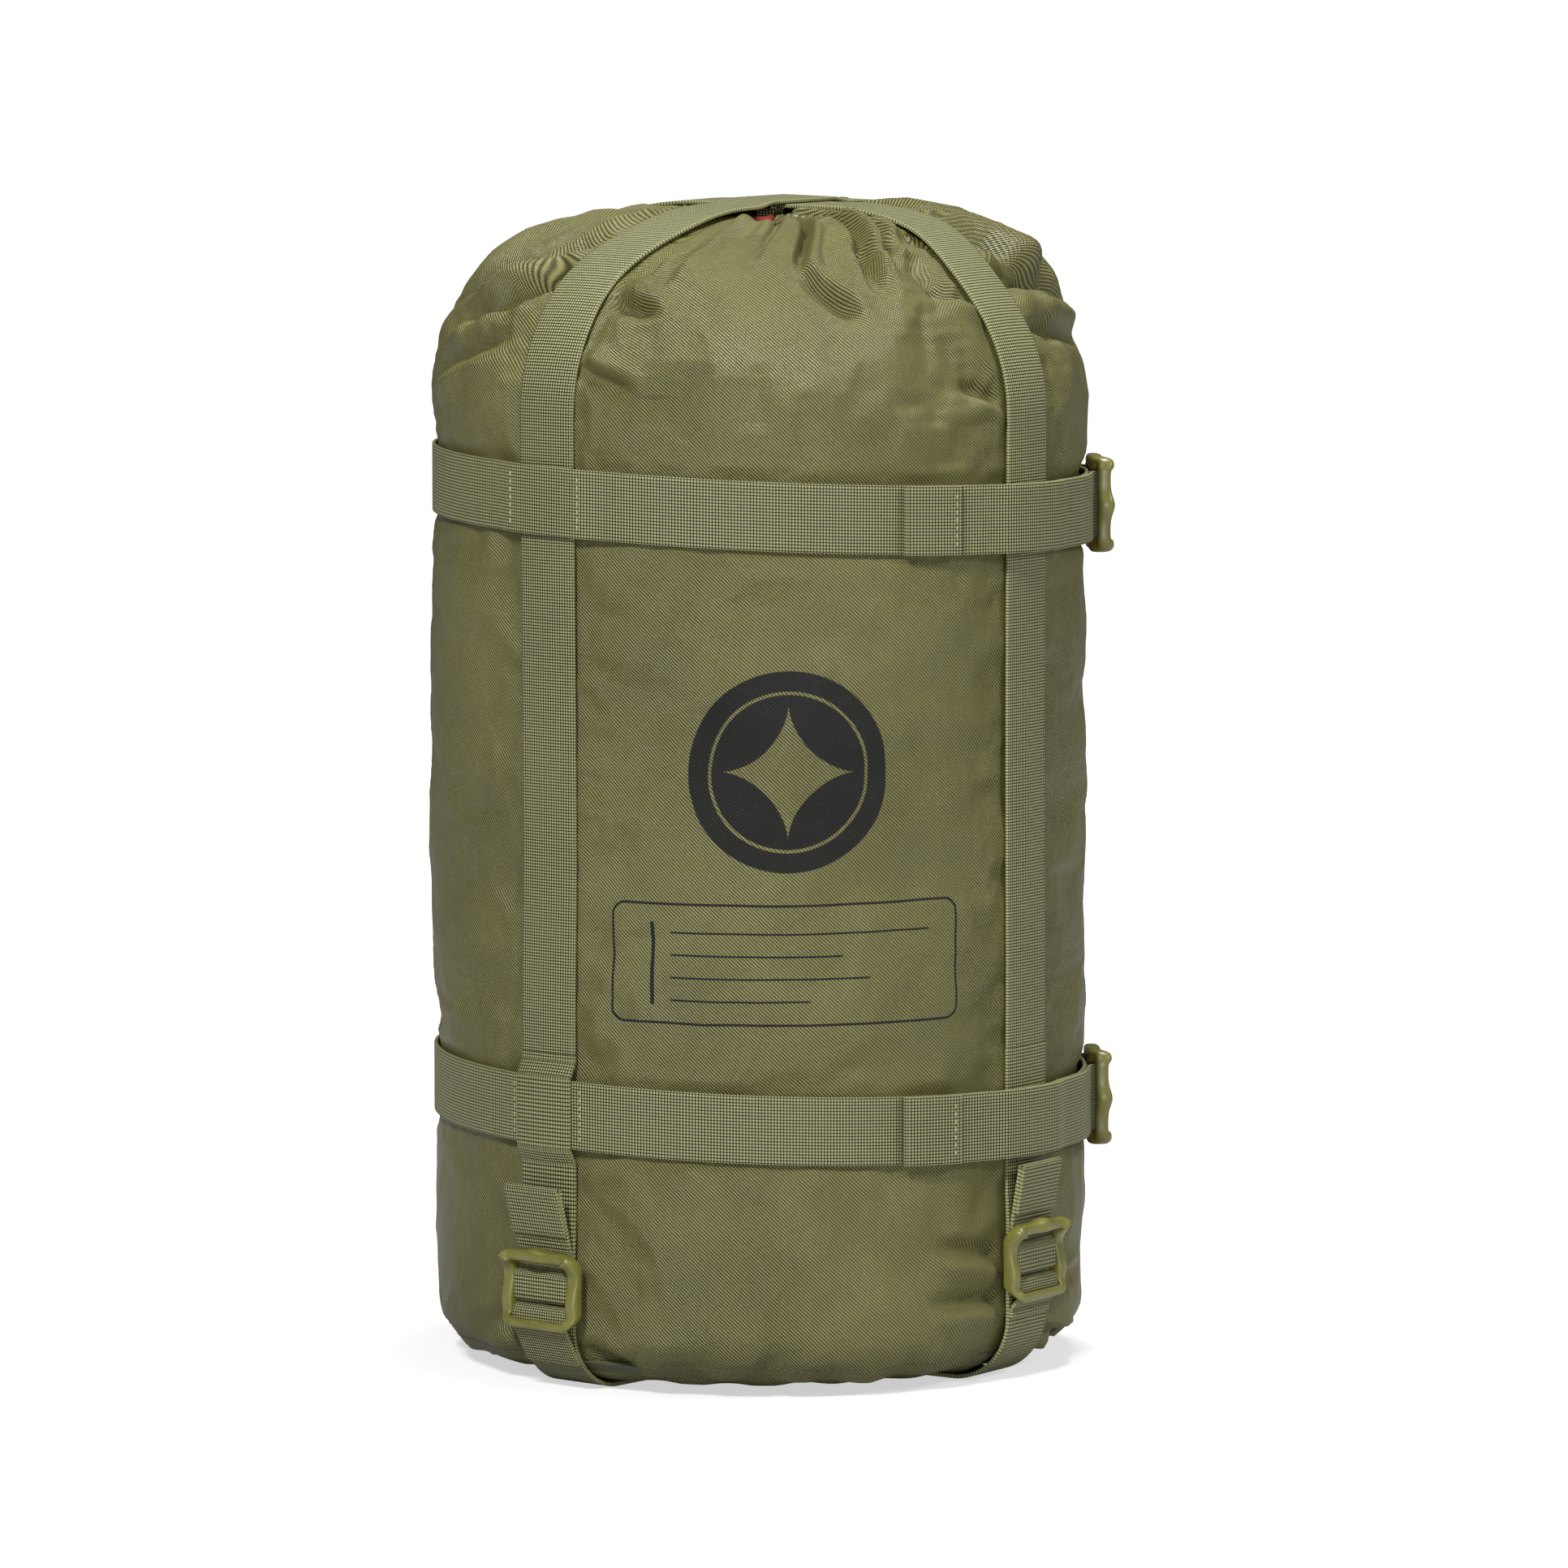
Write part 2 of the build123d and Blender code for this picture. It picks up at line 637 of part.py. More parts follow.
def belt_lock_plane(height):
    """At a belt's lock: x across, y along the belt towards the lip, z outwards."""
    return Plane(
        origin=belt_point(0, 0) + Vector(0, 0, height),
        x_dir=belt_along.cross(belt_normal),
        z_dir=belt_normal,
    )


# ---- build ---------------------------------------------------------------------------------------------------------

keep(side_panel(), "side_panel")
keep(base_panel(), "base_panel")
keep(seam_binding(), "base_seam_binding")
keep(mouth_hem(), "mouth_hem")
keep(drawcord(), "mouth_drawcord")
keep(cord_lock_body(), "cord_lock_body")
keep(cord_lock_plunger(), "cord_lock_plunger")
keep(cord_lock_spring(), "cord_lock_spring")
keep(hem_tab(), "hem_tab")
lower, upper = load_bundles()
keep(lower, "load_lower")
keep(upper, "load_upper")
for name, azimuth in strap_azimuths.items():
    keep(top_strap(name, azimuth, name == "a"), f"top_strap_{name}")
    keep(base_strap(name, azimuth), f"base_strap_{name}")
places = {
    "front_left": wall_plane(strap_azimuths["a"], front_bar_heights["a"]),
    "front_right": wall_plane(strap_azimuths["b"], front_bar_heights["b"]),
    "back_right": wall_plane(strap_azimuths["a"] + 180, back_bar_heights["a"]),
    "back_left": wall_plane(strap_azimuths["b"] + 180, back_bar_heights["b"]),
    "belt_lower": belt_lock_plane(belt_heights["lower"]),
    "belt_upper": belt_lock_plane(belt_heights["upper"]),
}
for name, place in places.items():
    keep(place * ladder_lock(), f"ladder_lock_{name}")
for name, height in belt_heights.items():
    keep(belt_strap(height), f"belt_{name}_strap")
    keep(belt_anchor(height), f"belt_{name}_anchor")
    keep(belt_stitching(height), f"belt_{name}_stitching")
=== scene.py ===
from math import cos, exp, hypot, pi, radians, sin

import bpy
import numpy as np
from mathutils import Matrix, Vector, noise


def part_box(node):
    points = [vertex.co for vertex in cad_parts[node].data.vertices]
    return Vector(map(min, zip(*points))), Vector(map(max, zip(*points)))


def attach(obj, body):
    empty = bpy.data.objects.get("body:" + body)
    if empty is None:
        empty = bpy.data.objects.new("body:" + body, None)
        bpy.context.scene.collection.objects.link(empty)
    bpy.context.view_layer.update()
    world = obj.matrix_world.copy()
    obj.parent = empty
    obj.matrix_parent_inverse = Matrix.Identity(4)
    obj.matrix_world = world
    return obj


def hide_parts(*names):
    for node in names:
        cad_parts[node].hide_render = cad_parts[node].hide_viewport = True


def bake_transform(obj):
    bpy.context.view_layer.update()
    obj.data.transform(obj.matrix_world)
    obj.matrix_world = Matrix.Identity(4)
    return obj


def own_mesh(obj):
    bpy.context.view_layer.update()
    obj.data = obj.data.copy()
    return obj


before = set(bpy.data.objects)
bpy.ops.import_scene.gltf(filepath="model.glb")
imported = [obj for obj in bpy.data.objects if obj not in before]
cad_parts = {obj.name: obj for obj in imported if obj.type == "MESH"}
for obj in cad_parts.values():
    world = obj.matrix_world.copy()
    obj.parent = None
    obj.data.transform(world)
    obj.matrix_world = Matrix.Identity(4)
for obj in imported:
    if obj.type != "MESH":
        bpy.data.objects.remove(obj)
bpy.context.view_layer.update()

# Lengths are millimetres until a piece's mesh is set. An azimuth starts at -Y and grows towards +X.
MM = 0.001

RADIUS = 120.0
HEIGHT = 434.0
CORNER_RADIUS = 22.0
CORNER_HEIGHT = 25.1
SEAM_ANGLE = 38.0
SHOULDER_HEIGHT = 72.0
CROWN_RADIUS = 30.0
MOUTH_RIM = 25.3
MOUTH_HEIGHT = 428.0
MOUTH_RADIUS = 21.0
MOUTH_CENTRE_SHIFT = 8.0

WEB_WIDTH = 25.4
WEB_THICK = 1.4
FOLD_STEP = 1.52
FIRST_LAYER = 1.0
LAYER = 1.7
BELT_LAYER = 3.361
STRAPS = {"a": -45.0, "b": 50.5}
FEET = {-45.0: "front_left", 50.5: "front_right", 135.0: "back_right", 230.5: "back_left"}
BAR_HEIGHTS = {-45.0: 29.5, 50.5: 37.0, 135.0: 37.0, 230.5: 37.0}
BAR_OFFSET = 3.6
LOCK_TURN = 4.4
TURN_RADIUS = 2.2
OVER = FIRST_LAYER + 2 * TURN_RADIUS
BACK = FIRST_LAYER + LAYER
LIP_PITCH = 21.3
TAIL_ENDS = {-45.0: (48.0, 9.5), 50.5: (45.5, 6.5), 135.0: (43.3, 6.0), 230.5: (44.8, 6.0)}
TAIL_FOLD = 18.0
BELT_HEIGHTS = {"lower": 97.0, "upper": 322.0}
BELT_LIFTS = {"lower": 9.0, "upper": 11.0}
BELT_LOCK = 89.0
BELT_SPLIT = 360 + 46.0
SPLIT_HEIGHT = 126.0


# ---- plain helpers ----


def clear():
    bpy.ops.object.select_all(action="DESELECT")


def smooth(x, low, high):
    t = np.clip((np.asarray(x, float) - low) / (high - low), 0, 1)
    return t * t * (3 - 2 * t)


def out(azimuth):
    a = radians(azimuth)
    return np.array([sin(a), -cos(a), 0.0])


def side_of(azimuth):
    a = radians(azimuth)
    return np.array([cos(a), sin(a), 0.0])


def unit(v):
    v = np.asarray(v, float)
    return v / np.linalg.norm(v, axis=-1, keepdims=True)


def points_of(piece):
    co = np.empty(len(piece.data.vertices) * 3)
    piece.data.vertices.foreach_get("co", co)
    return co.reshape(-1, 3)


def set_points(piece, places):
    piece.data.vertices.foreach_set("co", np.ascontiguousarray(places, dtype=np.float32).ravel())
    piece.data.update()


def scale_uv(piece, size, start=(0.0, 0.0)):
    layer = piece.data.uv_layers[0]
    uv = np.empty(len(layer.data) * 2)
    layer.data.foreach_get("uv", uv)
    uv = uv.reshape(-1, 2) * np.array(size) + np.array(start)
    layer.data.foreach_set("uv", uv.ravel())


def grid_piece(name, rows, cols):
    """A grid primitive, with each vertex's row and column."""
    clear()
    bpy.ops.mesh.primitive_grid_add(x_subdivisions=cols - 1, y_subdivisions=rows - 1, size=1)
    piece = bpy.context.object
    piece.name = piece.data.name = name
    co = points_of(piece)
    assert len(co) == rows * cols
    row = np.rint((co[:, 1] + 0.5) * (rows - 1)).astype(int)
    col = np.rint((co[:, 0] + 0.5) * (cols - 1)).astype(int)
    return piece, row, col


def modifier(piece, kind, **settings):
    made = piece.modifiers.new(kind.title(), kind)
    for key, value in settings.items():
        setattr(made, key, value)
    clear()
    piece.select_set(True)
    bpy.context.view_layer.objects.active = piece
    bpy.ops.object.modifier_apply(modifier=made.name)


def round_edges(piece, width, segments):
    limits = {"limit_method": "ANGLE", "angle_limit": radians(60)}
    modifier(piece, "BEVEL", width=width * MM, segments=segments, **limits)


def edit(piece, step):
    """Runs an edit-mode step on the whole of a piece."""
    clear()
    piece.select_set(True)
    bpy.context.view_layer.objects.active = piece
    bpy.ops.object.mode_set(mode="EDIT")
    bpy.ops.mesh.select_all(action="SELECT")
    step()
    bpy.ops.object.mode_set(mode="OBJECT")


def soften(piece, angle=50.0):
    clear()
    piece.select_set(True)
    bpy.context.view_layer.objects.active = piece
    bpy.ops.object.shade_smooth_by_angle(angle=radians(angle))


def join(pieces, name):
    clear()
    for piece in pieces:
        piece.select_set(True)
    bpy.context.view_layer.objects.active = pieces[0]
    bpy.ops.object.join()
    pieces[0].name = pieces[0].data.name = name
    return pieces[0]


def dress(piece, material):
    piece.data.materials.clear()
    piece.data.materials.append(material)
    return piece


def rounded(corners, radii, step=1.6):
    """Straight runs with an arc at each corner, as points along them."""
    corners = [np.array(c, float) for c in corners]
    line = [corners[0]]
    for before, corner, after, radius in zip(corners, corners[1:], corners[2:], radii):
        a, b = unit(before - corner), unit(after - corner)
        half = 0.5 * np.arccos(np.clip(a @ b, -1, 1))
        if half > pi / 2 - 0.002:
            continue
        centre = corner + unit(a + b) * (radius / sin(half))
        start = corner + a * radius / np.tan(half) - centre
        end = corner + b * radius / np.tan(half) - centre
        turn = pi - 2 * half
        steps = max(4, int(turn * radius / step) + 1)
        for k in range(steps + 1):
            w = turn * k / steps
            line.append(centre + (start * sin(turn - w) + end * sin(w)) / sin(turn))
    line.append(corners[-1])
    return filled(line, step)


def filled(line, step=1.6):
    """The same points with more between those that lie far apart."""
    full = [line[0]]
    for point in line[1:]:
        gap = np.linalg.norm(point - full[-1])
        if gap < 1e-4:
            continue
        count = max(1, int(np.ceil(gap / step)))
        last = full[-1]
        full += [last + (point - last) * (k + 1) / count for k in range(count)]
    return np.array(full)


def run_length(line):
    return np.r_[0, np.cumsum(np.linalg.norm(np.diff(line, axis=0), axis=1))]


# ---- shader maths ----


class Amount:
    """A shader value that takes part in sums."""

    def __init__(self, finish, socket):
        self.finish = finish
        self.socket = socket

    def _with(self, other, operation, turned=False):
        first, second = (other, self) if turned else (self, other)
        return self.finish.node("Math", {"operation": operation}, {0: first, 1: second})

    def __add__(self, other): return self._with(other, "ADD")
    def __radd__(self, other): return self._with(other, "ADD", True)
    def __sub__(self, other): return self._with(other, "SUBTRACT")
    def __rsub__(self, other): return self._with(other, "SUBTRACT", True)
    def __mul__(self, other): return self._with(other, "MULTIPLY")
    def __rmul__(self, other): return self._with(other, "MULTIPLY", True)
    def __truediv__(self, other): return self._with(other, "DIVIDE")
    def __pow__(self, other): return self._with(other, "POWER")

    def at_most(self, other): return self._with(other, "MINIMUM")
    def at_least(self, other): return self._with(other, "MAXIMUM")
    def sine(self): return self.finish.node("Math", {"operation": "SINE"}, {0: self})
    def size(self): return self.finish.node("Math", {"operation": "ABSOLUTE"}, {0: self})

    def ramp(self, low, high, start=0.0, end=1.0):
        """Rises smoothly from start at low to end at high."""
        return self.finish.node(
            "MapRange",
            {"interpolation_type": "SMOOTHSTEP"},
            {"Value": self, "From Min": low, "From Max": high, "To Min": start, "To Max": end},
        )


class Finish:
    """One material, built node by node."""

    def __init__(self, name, **fixed):
        self.material = bpy.data.materials.new(name)
        self.material.use_nodes = True
        self.tree = self.material.node_tree
        self.shader = self.tree.nodes["Principled BSDF"]
        for key, value in fixed.items():
            self.set(key.replace("_", " "), value)

    def node(self, kind, settings=None, inputs=None, outlet=0):
        made = self.tree.nodes.new("ShaderNode" + kind)
        for key, value in (settings or {}).items():
            if key == "stops":
                while len(made.color_ramp.elements) < len(value):
                    made.color_ramp.elements.new(0.5)
                for element, (place, shade) in zip(made.color_ramp.elements, value):
                    element.position, element.color = place, (*shade, 1)
            else:
                setattr(made, key, value)
        for key, value in (inputs or {}).items():
            if isinstance(value, Amount):
                self.tree.links.new(value.socket, made.inputs[key])
            else:
                made.inputs[key].default_value = value
        return Amount(self, made.outputs[outlet])

    def set(self, socket, value):
        if isinstance(value, Amount):
            self.tree.links.new(value.socket, self.shader.inputs[socket])
        else:
            if isinstance(value, tuple) and len(value) == 3:
                value = (*value, 1)
            self.shader.inputs[socket].default_value = value

    def cloth_place(self):
        """The piece's own cloth coordinates, in millimetres."""
        uv = self.node("UVMap", {"uv_map": "UVMap"})
        return [self.node("SeparateXYZ", inputs={0: uv}, outlet=k) * 1000.0 for k in (0, 1)]

    def room(self):
        return self.node("TexCoord", outlet=3)

    def cloud(self, scale, detail=3.0, roughness=0.5, place=None, distortion=0.0):
        """Noise from 0 to 1."""
        return self.node(
            "TexNoise",
            inputs={
                "Vector": place or self.room(), "Scale": scale, "Detail": detail,
                "Roughness": roughness, "Distortion": distortion,
            },
        )

    def shade(self, factor, low, high):
        """A colour between two colours."""
        inputs = {0: factor, 6: low if isinstance(low, Amount) else (*low, 1)}
        inputs[7] = high if isinstance(high, Amount) else (*high, 1)
        return self.node("Mix", {"data_type": "RGBA"}, inputs, 2)

    def bump(self, height, distance, strength=1.0):
        made = self.node("Bump", inputs={"Height": height, "Distance": distance, "Strength": strength})
        self.set("Normal", made)


# ---- finishes ----

BADGE_HEIGHT = 234.0
BADGE_RADIUS = 37.0
BADGE_RING = 29.0
LABEL_HEIGHT = 163.0
LABEL_SIZE = (132.0, 44.0)
LABEL_CORNER = 5.0
LABEL_RULES = ((11.5, 54.0), (3.2, 20.0), (-5.1, 30.0), (-13.4, 8.0))


def printed_ink(across, up):
    """Where the print lies: a badge with a four-pointed star, and a ruled label frame."""
    du, dv = across.size(), up - BADGE_HEIGHT
    reach = (across * across + dv * dv) ** 0.5
    disc = reach.ramp(BADGE_RADIUS + 0.25, BADGE_RADIUS - 0.25)
    star = (du ** 0.62 + dv.size() ** 0.62).ramp(7.4, 7.2)
    ring = (reach - BADGE_RING).size().ramp(0.75, 0.45)
    badge = disc * (1.0 - star.at_least(ring))
    half_wide, half_high = LABEL_SIZE[0] / 2 - LABEL_CORNER, LABEL_SIZE[1] / 2 - LABEL_CORNER
    lv = up - LABEL_HEIGHT
    qx, qy = (du - half_wide).at_least(0.0), (lv.size() - half_high).at_least(0.0)
    inside = (du - half_wide).at_least(lv.size() - half_high).at_most(0.0)
    edge = (qx * qx + qy * qy) ** 0.5 + inside - LABEL_CORNER
    frame_line = edge.size().ramp(0.62, 0.32)
    rules = (across + 50.0).size().ramp(0.9, 0.6) * lv.size().ramp(15.6, 15.0)
    for height, right in LABEL_RULES:
        line = (lv - height).size().ramp(0.5, 0.25) * across.ramp(-43.3, -42.7)
        rules = rules + line * across.ramp(right + 0.3, right - 0.3)
    return badge.at_least(frame_line).at_least(rules)


def pack_cloth(name, printed=False, tone=1.0):
    """Satin-faced olive cloth with a fine diagonal twill; the twill's light ribs and dark grooves in its
    colour are partly its woven pattern and partly painted glints and painted groove shade.
    """
    cloth = Finish(name, Specular_IOR_Level=0.27)
    across, up = cloth.cloth_place()
    rib = ((across * 0.86 + up * 0.9) * (2 * pi / 1.25)).sine()
    cross = ((across * 1.1 - up * 0.75) * (2 * pi / 1.05)).sine()
    weave = rib * 0.62 + cross * 0.38
    wide = cloth.cloud(11.0, 4.0, 0.55)
    fine = cloth.cloud(900.0, 2.0, 0.6)
    patch = cloth.cloud(46.0, 3.0, 0.6, distortion=0.6)
    # Partly painted light: the twill's share of this factor puts painted glints on the ribs and painted
    # shade in the grooves, over the woven pattern; the clouds are random tone.
    light = weave * 0.70 + wide * 0.45 + patch * 0.24 + (fine - 0.5) * 0.40 + 0.08
    low = tuple(c * tone for c in (0.017, 0.0175, 0.0035))
    high = tuple(c * tone for c in (0.200, 0.188, 0.066))
    colour = cloth.shade(light, low, high)
    rough = 0.29 + patch * 0.14 + (fine - 0.5) * 0.10
    if printed:
        worn = fine.ramp(0.26, 0.42)
        ink = printed_ink(across, up) * (worn * 0.06 + 0.93)
        colour = cloth.shade(ink, colour, (0.004, 0.004, 0.004))
        rough = rough + ink * 0.35
    cloth.set("Base Color", colour)
    cloth.set("Roughness", rough)
    crease = cloth.cloud(60.0, 4.0, 0.55, distortion=1.0)
    line = cloth.cloud(26.0, 3.0, 0.5, distortion=0.8) - 0.5
    line = line.size().ramp(0.0, 0.035, 1.0, 0.0)
    cloth.bump(weave * 0.20 + crease * 0.8 - line * 0.10 + fine * 0.05, 0.0018, 0.6)
    return cloth.material


def webbing_finish(name, light=1.0):
    """Woven webbing: offset rows of raised yarns and firm edges, with painted shade in the gaps between
    yarns and painted highlights on the raised yarns.
    """
    web = Finish(
        name, Sheen_Weight=0.03, Sheen_Roughness=0.4, Sheen_Tint=(0.8, 0.82, 0.5), Specular_IOR_Level=0.35)
    across, along = web.cloth_place()
    pitch = 2 * pi / 2.32
    yarn = ((across + 0.58) * pitch).sine() * (along * pitch).sine()
    raised = yarn.size() ** 1.1
    rows = (along * (2 * pi / 1.16)).sine()
    edge = across.size().ramp(11.3, 12.2)
    wide = web.cloud(16.0, 3.0, 0.5)
    fine = web.cloud(1400.0, 2.0, 0.6)
    # Painted shade and highlight: the colour runs from near black in the gaps between yarns to pale on the
    # raised yarns.
    tone = raised * 1.95 + wide * 0.24 + (fine - 0.5) * 0.4 - 0.42 + edge * 0.08
    low = tuple(c * light for c in (0.006, 0.0065, 0.002))
    high = tuple(c * light for c in (0.245, 0.243, 0.108))
    web.set("Base Color", web.shade(tone, low, high))
    web.set("Roughness", 0.62 - raised * 0.12 + (fine - 0.5) * 0.15)
    web.bump(raised * 0.5 + rows * 0.08 + fine * 0.10, 0.00045, 0.8)
    return web.material


def moulding_finish():
    """Moulded olive plastic with a soft gloss and faint flow marks."""
    mould = Finish("olive_moulding", Coat_Weight=0.12, Coat_Roughness=0.28, Subsurface_Weight=0.04)
    wide = mould.cloud(55.0, 3.0, 0.5, distortion=1.5)
    grain = mould.cloud(1500.0, 3.0, 0.6)
    shade = mould.shade(wide.ramp(0.25, 0.8), (0.095, 0.093, 0.013), (0.135, 0.131, 0.024))
    mould.set("Base Color", shade)
    mould.set("Roughness", 0.33 + wide * 0.10 + (grain - 0.5) * 0.10)
    mould.bump(grain * 0.35 + wide * 0.65, 0.00018, 0.6)
    return mould.material


def thread_finish(name, light=1.0):
    """Twisted thread."""
    thread = Finish(name, Sheen_Weight=0.1)
    twist = thread.cloud(2200.0, 2.0, 0.6)
    low, high = (tuple(c * light for c in colour) for colour in ((0.16, 0.16, 0.07), (0.36, 0.36, 0.18)))
    thread.set("Base Color", thread.shade(twist, low, high))
    thread.set("Roughness", 0.5 + twist * 0.2)
    thread.bump(twist, 0.00015, 0.7)
    return thread.material


def load_finish():
    """The red cloth of what is packed inside."""
    red = Finish("red_load_cloth", Sheen_Weight=0.3)
    weave = red.cloud(1700.0, 2.0, 0.6)
    folds = red.cloud(120.0, 3.0, 0.5, distortion=1.0)
    shade = red.shade(folds * 0.7 + weave * 0.3, (0.48, 0.022, 0.014), (0.92, 0.13, 0.085))
    red.set("Base Color", shade)
    red.set("Roughness", 0.62 + weave * 0.2)
    red.bump(folds * 0.7 + weave * 0.2, 0.0008, 0.7)
    return red.material


def braided_finish(name, sheen, braid_of, contrast, low, high, strength):
    """A braid or rib worked out from a place in millimetres."""
    braided = Finish(name, Sheen_Weight=sheen)
    place = braided.node("VectorMath", {"operation": "SCALE"}, {0: braided.room(), 3: 1000.0})
    braid = braid_of(*(braided.node("SeparateXYZ", inputs={0: place}, outlet=k) for k in range(3)))
    braided.set("Base Color", braided.shade(braid * contrast + 0.5, low, high))
    braided.set("Roughness", 0.6 + braid * 0.1)
    braided.bump(braid, 0.0003, strength)
    return braided.material


def steel_finish():
    steel = Finish("spring_steel", Metallic=1.0)
    drawn = steel.cloud(900.0, 3.0, 0.6)
    steel.set("Base Color", steel.shade(drawn, (0.42, 0.42, 0.43), (0.62, 0.62, 0.62)))
    steel.set("Roughness", 0.28 + drawn * 0.15)
    steel.bump(drawn, 0.00005, 0.5)
    return steel.material


CLOTH_PRINTED = pack_cloth("olive_pack_cloth_printed", True)
CLOTH = pack_cloth("olive_pack_cloth", tone=0.92)
BINDING = braided_finish(
    "olive_binding_tape", 0.05, lambda x, y, z: ((x + y) * 4.2).sine() * ((x - y + z) * 4.2).sine(),
    0.4, (0.020, 0.021, 0.006), (0.100, 0.098, 0.040), 0.7)
WEBBING = webbing_finish("olive_webbing")
MOULDING = moulding_finish()
THREAD = thread_finish("olive_thread")
SEAM_THREAD = thread_finish("olive_seam_thread", 0.22)
RED = load_finish()
CORD = braided_finish(
    "olive_cord", 0.3, lambda x, y, z: ((x + z) * 3.4).sine() * ((y - z) * 3.4).sine(),
    0.5, (0.05, 0.055, 0.022), (0.14, 0.15, 0.065), 0.8)
STEEL = steel_finish()


# ---- the sack's skin ----


def outline(inset=0.0, steps=900):
    """Evenly spaced (radius, height) from the base seam to the mouth, and their run length."""
    flat = RADIUS - CORNER_RADIUS
    foot = [
        (flat + (CORNER_RADIUS - inset) * cos(a), CORNER_HEIGHT + (CORNER_RADIUS - inset) * sin(a))
        for a in np.radians(np.linspace(SEAM_ANGLE - 90, 0, 30))
    ]
    low = HEIGHT - SHOULDER_HEIGHT
    rx, rz = RADIUS - inset - CROWN_RADIUS, SHOULDER_HEIGHT - inset
    shoulder = [(CROWN_RADIUS + rx * cos(t), low + rz * sin(t)) for t in np.linspace(0, pi / 2, 90)]
    inward, down = CROWN_RADIUS - MOUTH_RIM, HEIGHT - MOUTH_HEIGHT
    crown = [
        (CROWN_RADIUS - inward * t, HEIGHT - inset - down * t**1.6) for t in np.linspace(0, 1, 30)[1:]
    ]
    line = np.array(foot + shoulder + crown)
    gone = run_length(line)
    at = np.linspace(0, gone[-1], steps)
    return np.stack([np.interp(at, gone, line[:, k]) for k in (0, 1)], 1), gone[-1]


def centre_shift(height):
    """How far the gathered crown leans towards +X at a height."""
    return MOUTH_CENTRE_SHIFT * smooth(height, HEIGHT - 41, HEIGHT)


def skin_frame(share, turn):
    """Place and outward normal of the plain skin, at a share of its outline and an azimuth in radians."""
    line, _ = outline()
    at = np.linspace(0, 1, len(line))
    r, z = np.interp(share, at, line[:, 0]), np.interp(share, at, line[:, 1])
    slope = np.gradient(line, axis=0)
    tr, tz = np.interp(share, at, slope[:, 0]), np.interp(share, at, slope[:, 1])
    size = np.hypot(tr, tz)
    nr, nz = tz / size, -tr / size
    place = np.stack([r * np.sin(turn), -r * np.cos(turn), z], -1)
    normal = np.stack([nr * np.sin(turn), -nr * np.cos(turn), nz], -1)
    return place, normal


def belt_height(name, turn):
    """A belt's middle height at an azimuth in radians."""
    return BELT_HEIGHTS[name] + BELT_LIFTS[name] * (1 - np.sin(turn)) / 2


def strap_distance(place, azimuth):
    """How far a place lies to the side of a long strap's middle line, on either face of the sack."""
    x, y = place[..., 0] - centre_shift(place[..., 2]), place[..., 1]
    return x * cos(radians(azimuth)) + y * sin(radians(azimuth))


def strap_gap(place):
    """How far a place lies from the nearest long strap's middle line."""
    return np.minimum(*(np.abs(strap_distance(place, azimuth)) for azimuth in STRAPS.values()))


def belt_gap(place, turn):
    """How far a place lies from the nearest belt's middle height."""
    return np.min([np.abs(place[..., 2] - belt_height(name, turn)) for name in BELT_HEIGHTS], axis=0)


def over_crown(place):
    """How much a place takes part in the crown's lean towards +X, by its reach from the axis."""
    return smooth(-np.hypot(place[..., 0], place[..., 1]), -112, -60)

def clouds(place, scale, seed, stretch=(1, 1, 1)):
    """Smooth noise from -1 to 1 at many places."""
    flat = place.reshape(-1, 3) * np.array(stretch) / scale + seed * 7.31
    return np.array([noise.noise(p) for p in flat]).reshape(place.shape[:-1])


def fold(turn, height, start, end, width, depth):
    """A ridge with a valley beside it, along a line between two (azimuth, height) pairs."""
    scale = radians(FOLD_RADIUS)
    ax, ay, bx, by = start[0] * scale, start[1], end[0] * scale, end[1]
    turned = (np.degrees(turn) + 180) % 360 - 180
    x, y = turned * scale - ax, height - ay
    length = hypot(bx - ax, by - ay)
    ux, uy = (bx - ax) / length, (by - ay) / length
    along = x * ux + y * uy
    beside = x * uy - y * ux
    taper = smooth(along, -0.25 * length, 0.2 * length)
    taper = taper * (1 - smooth(along, 0.6 * length, 1.15 * length))
    q = beside / width
    return depth * taper * (np.exp(-q * q) * 0.7 - 1.15 * np.exp(-((q - 1.15) ** 2) * 1.6))


FOLD_RADIUS = 112.0

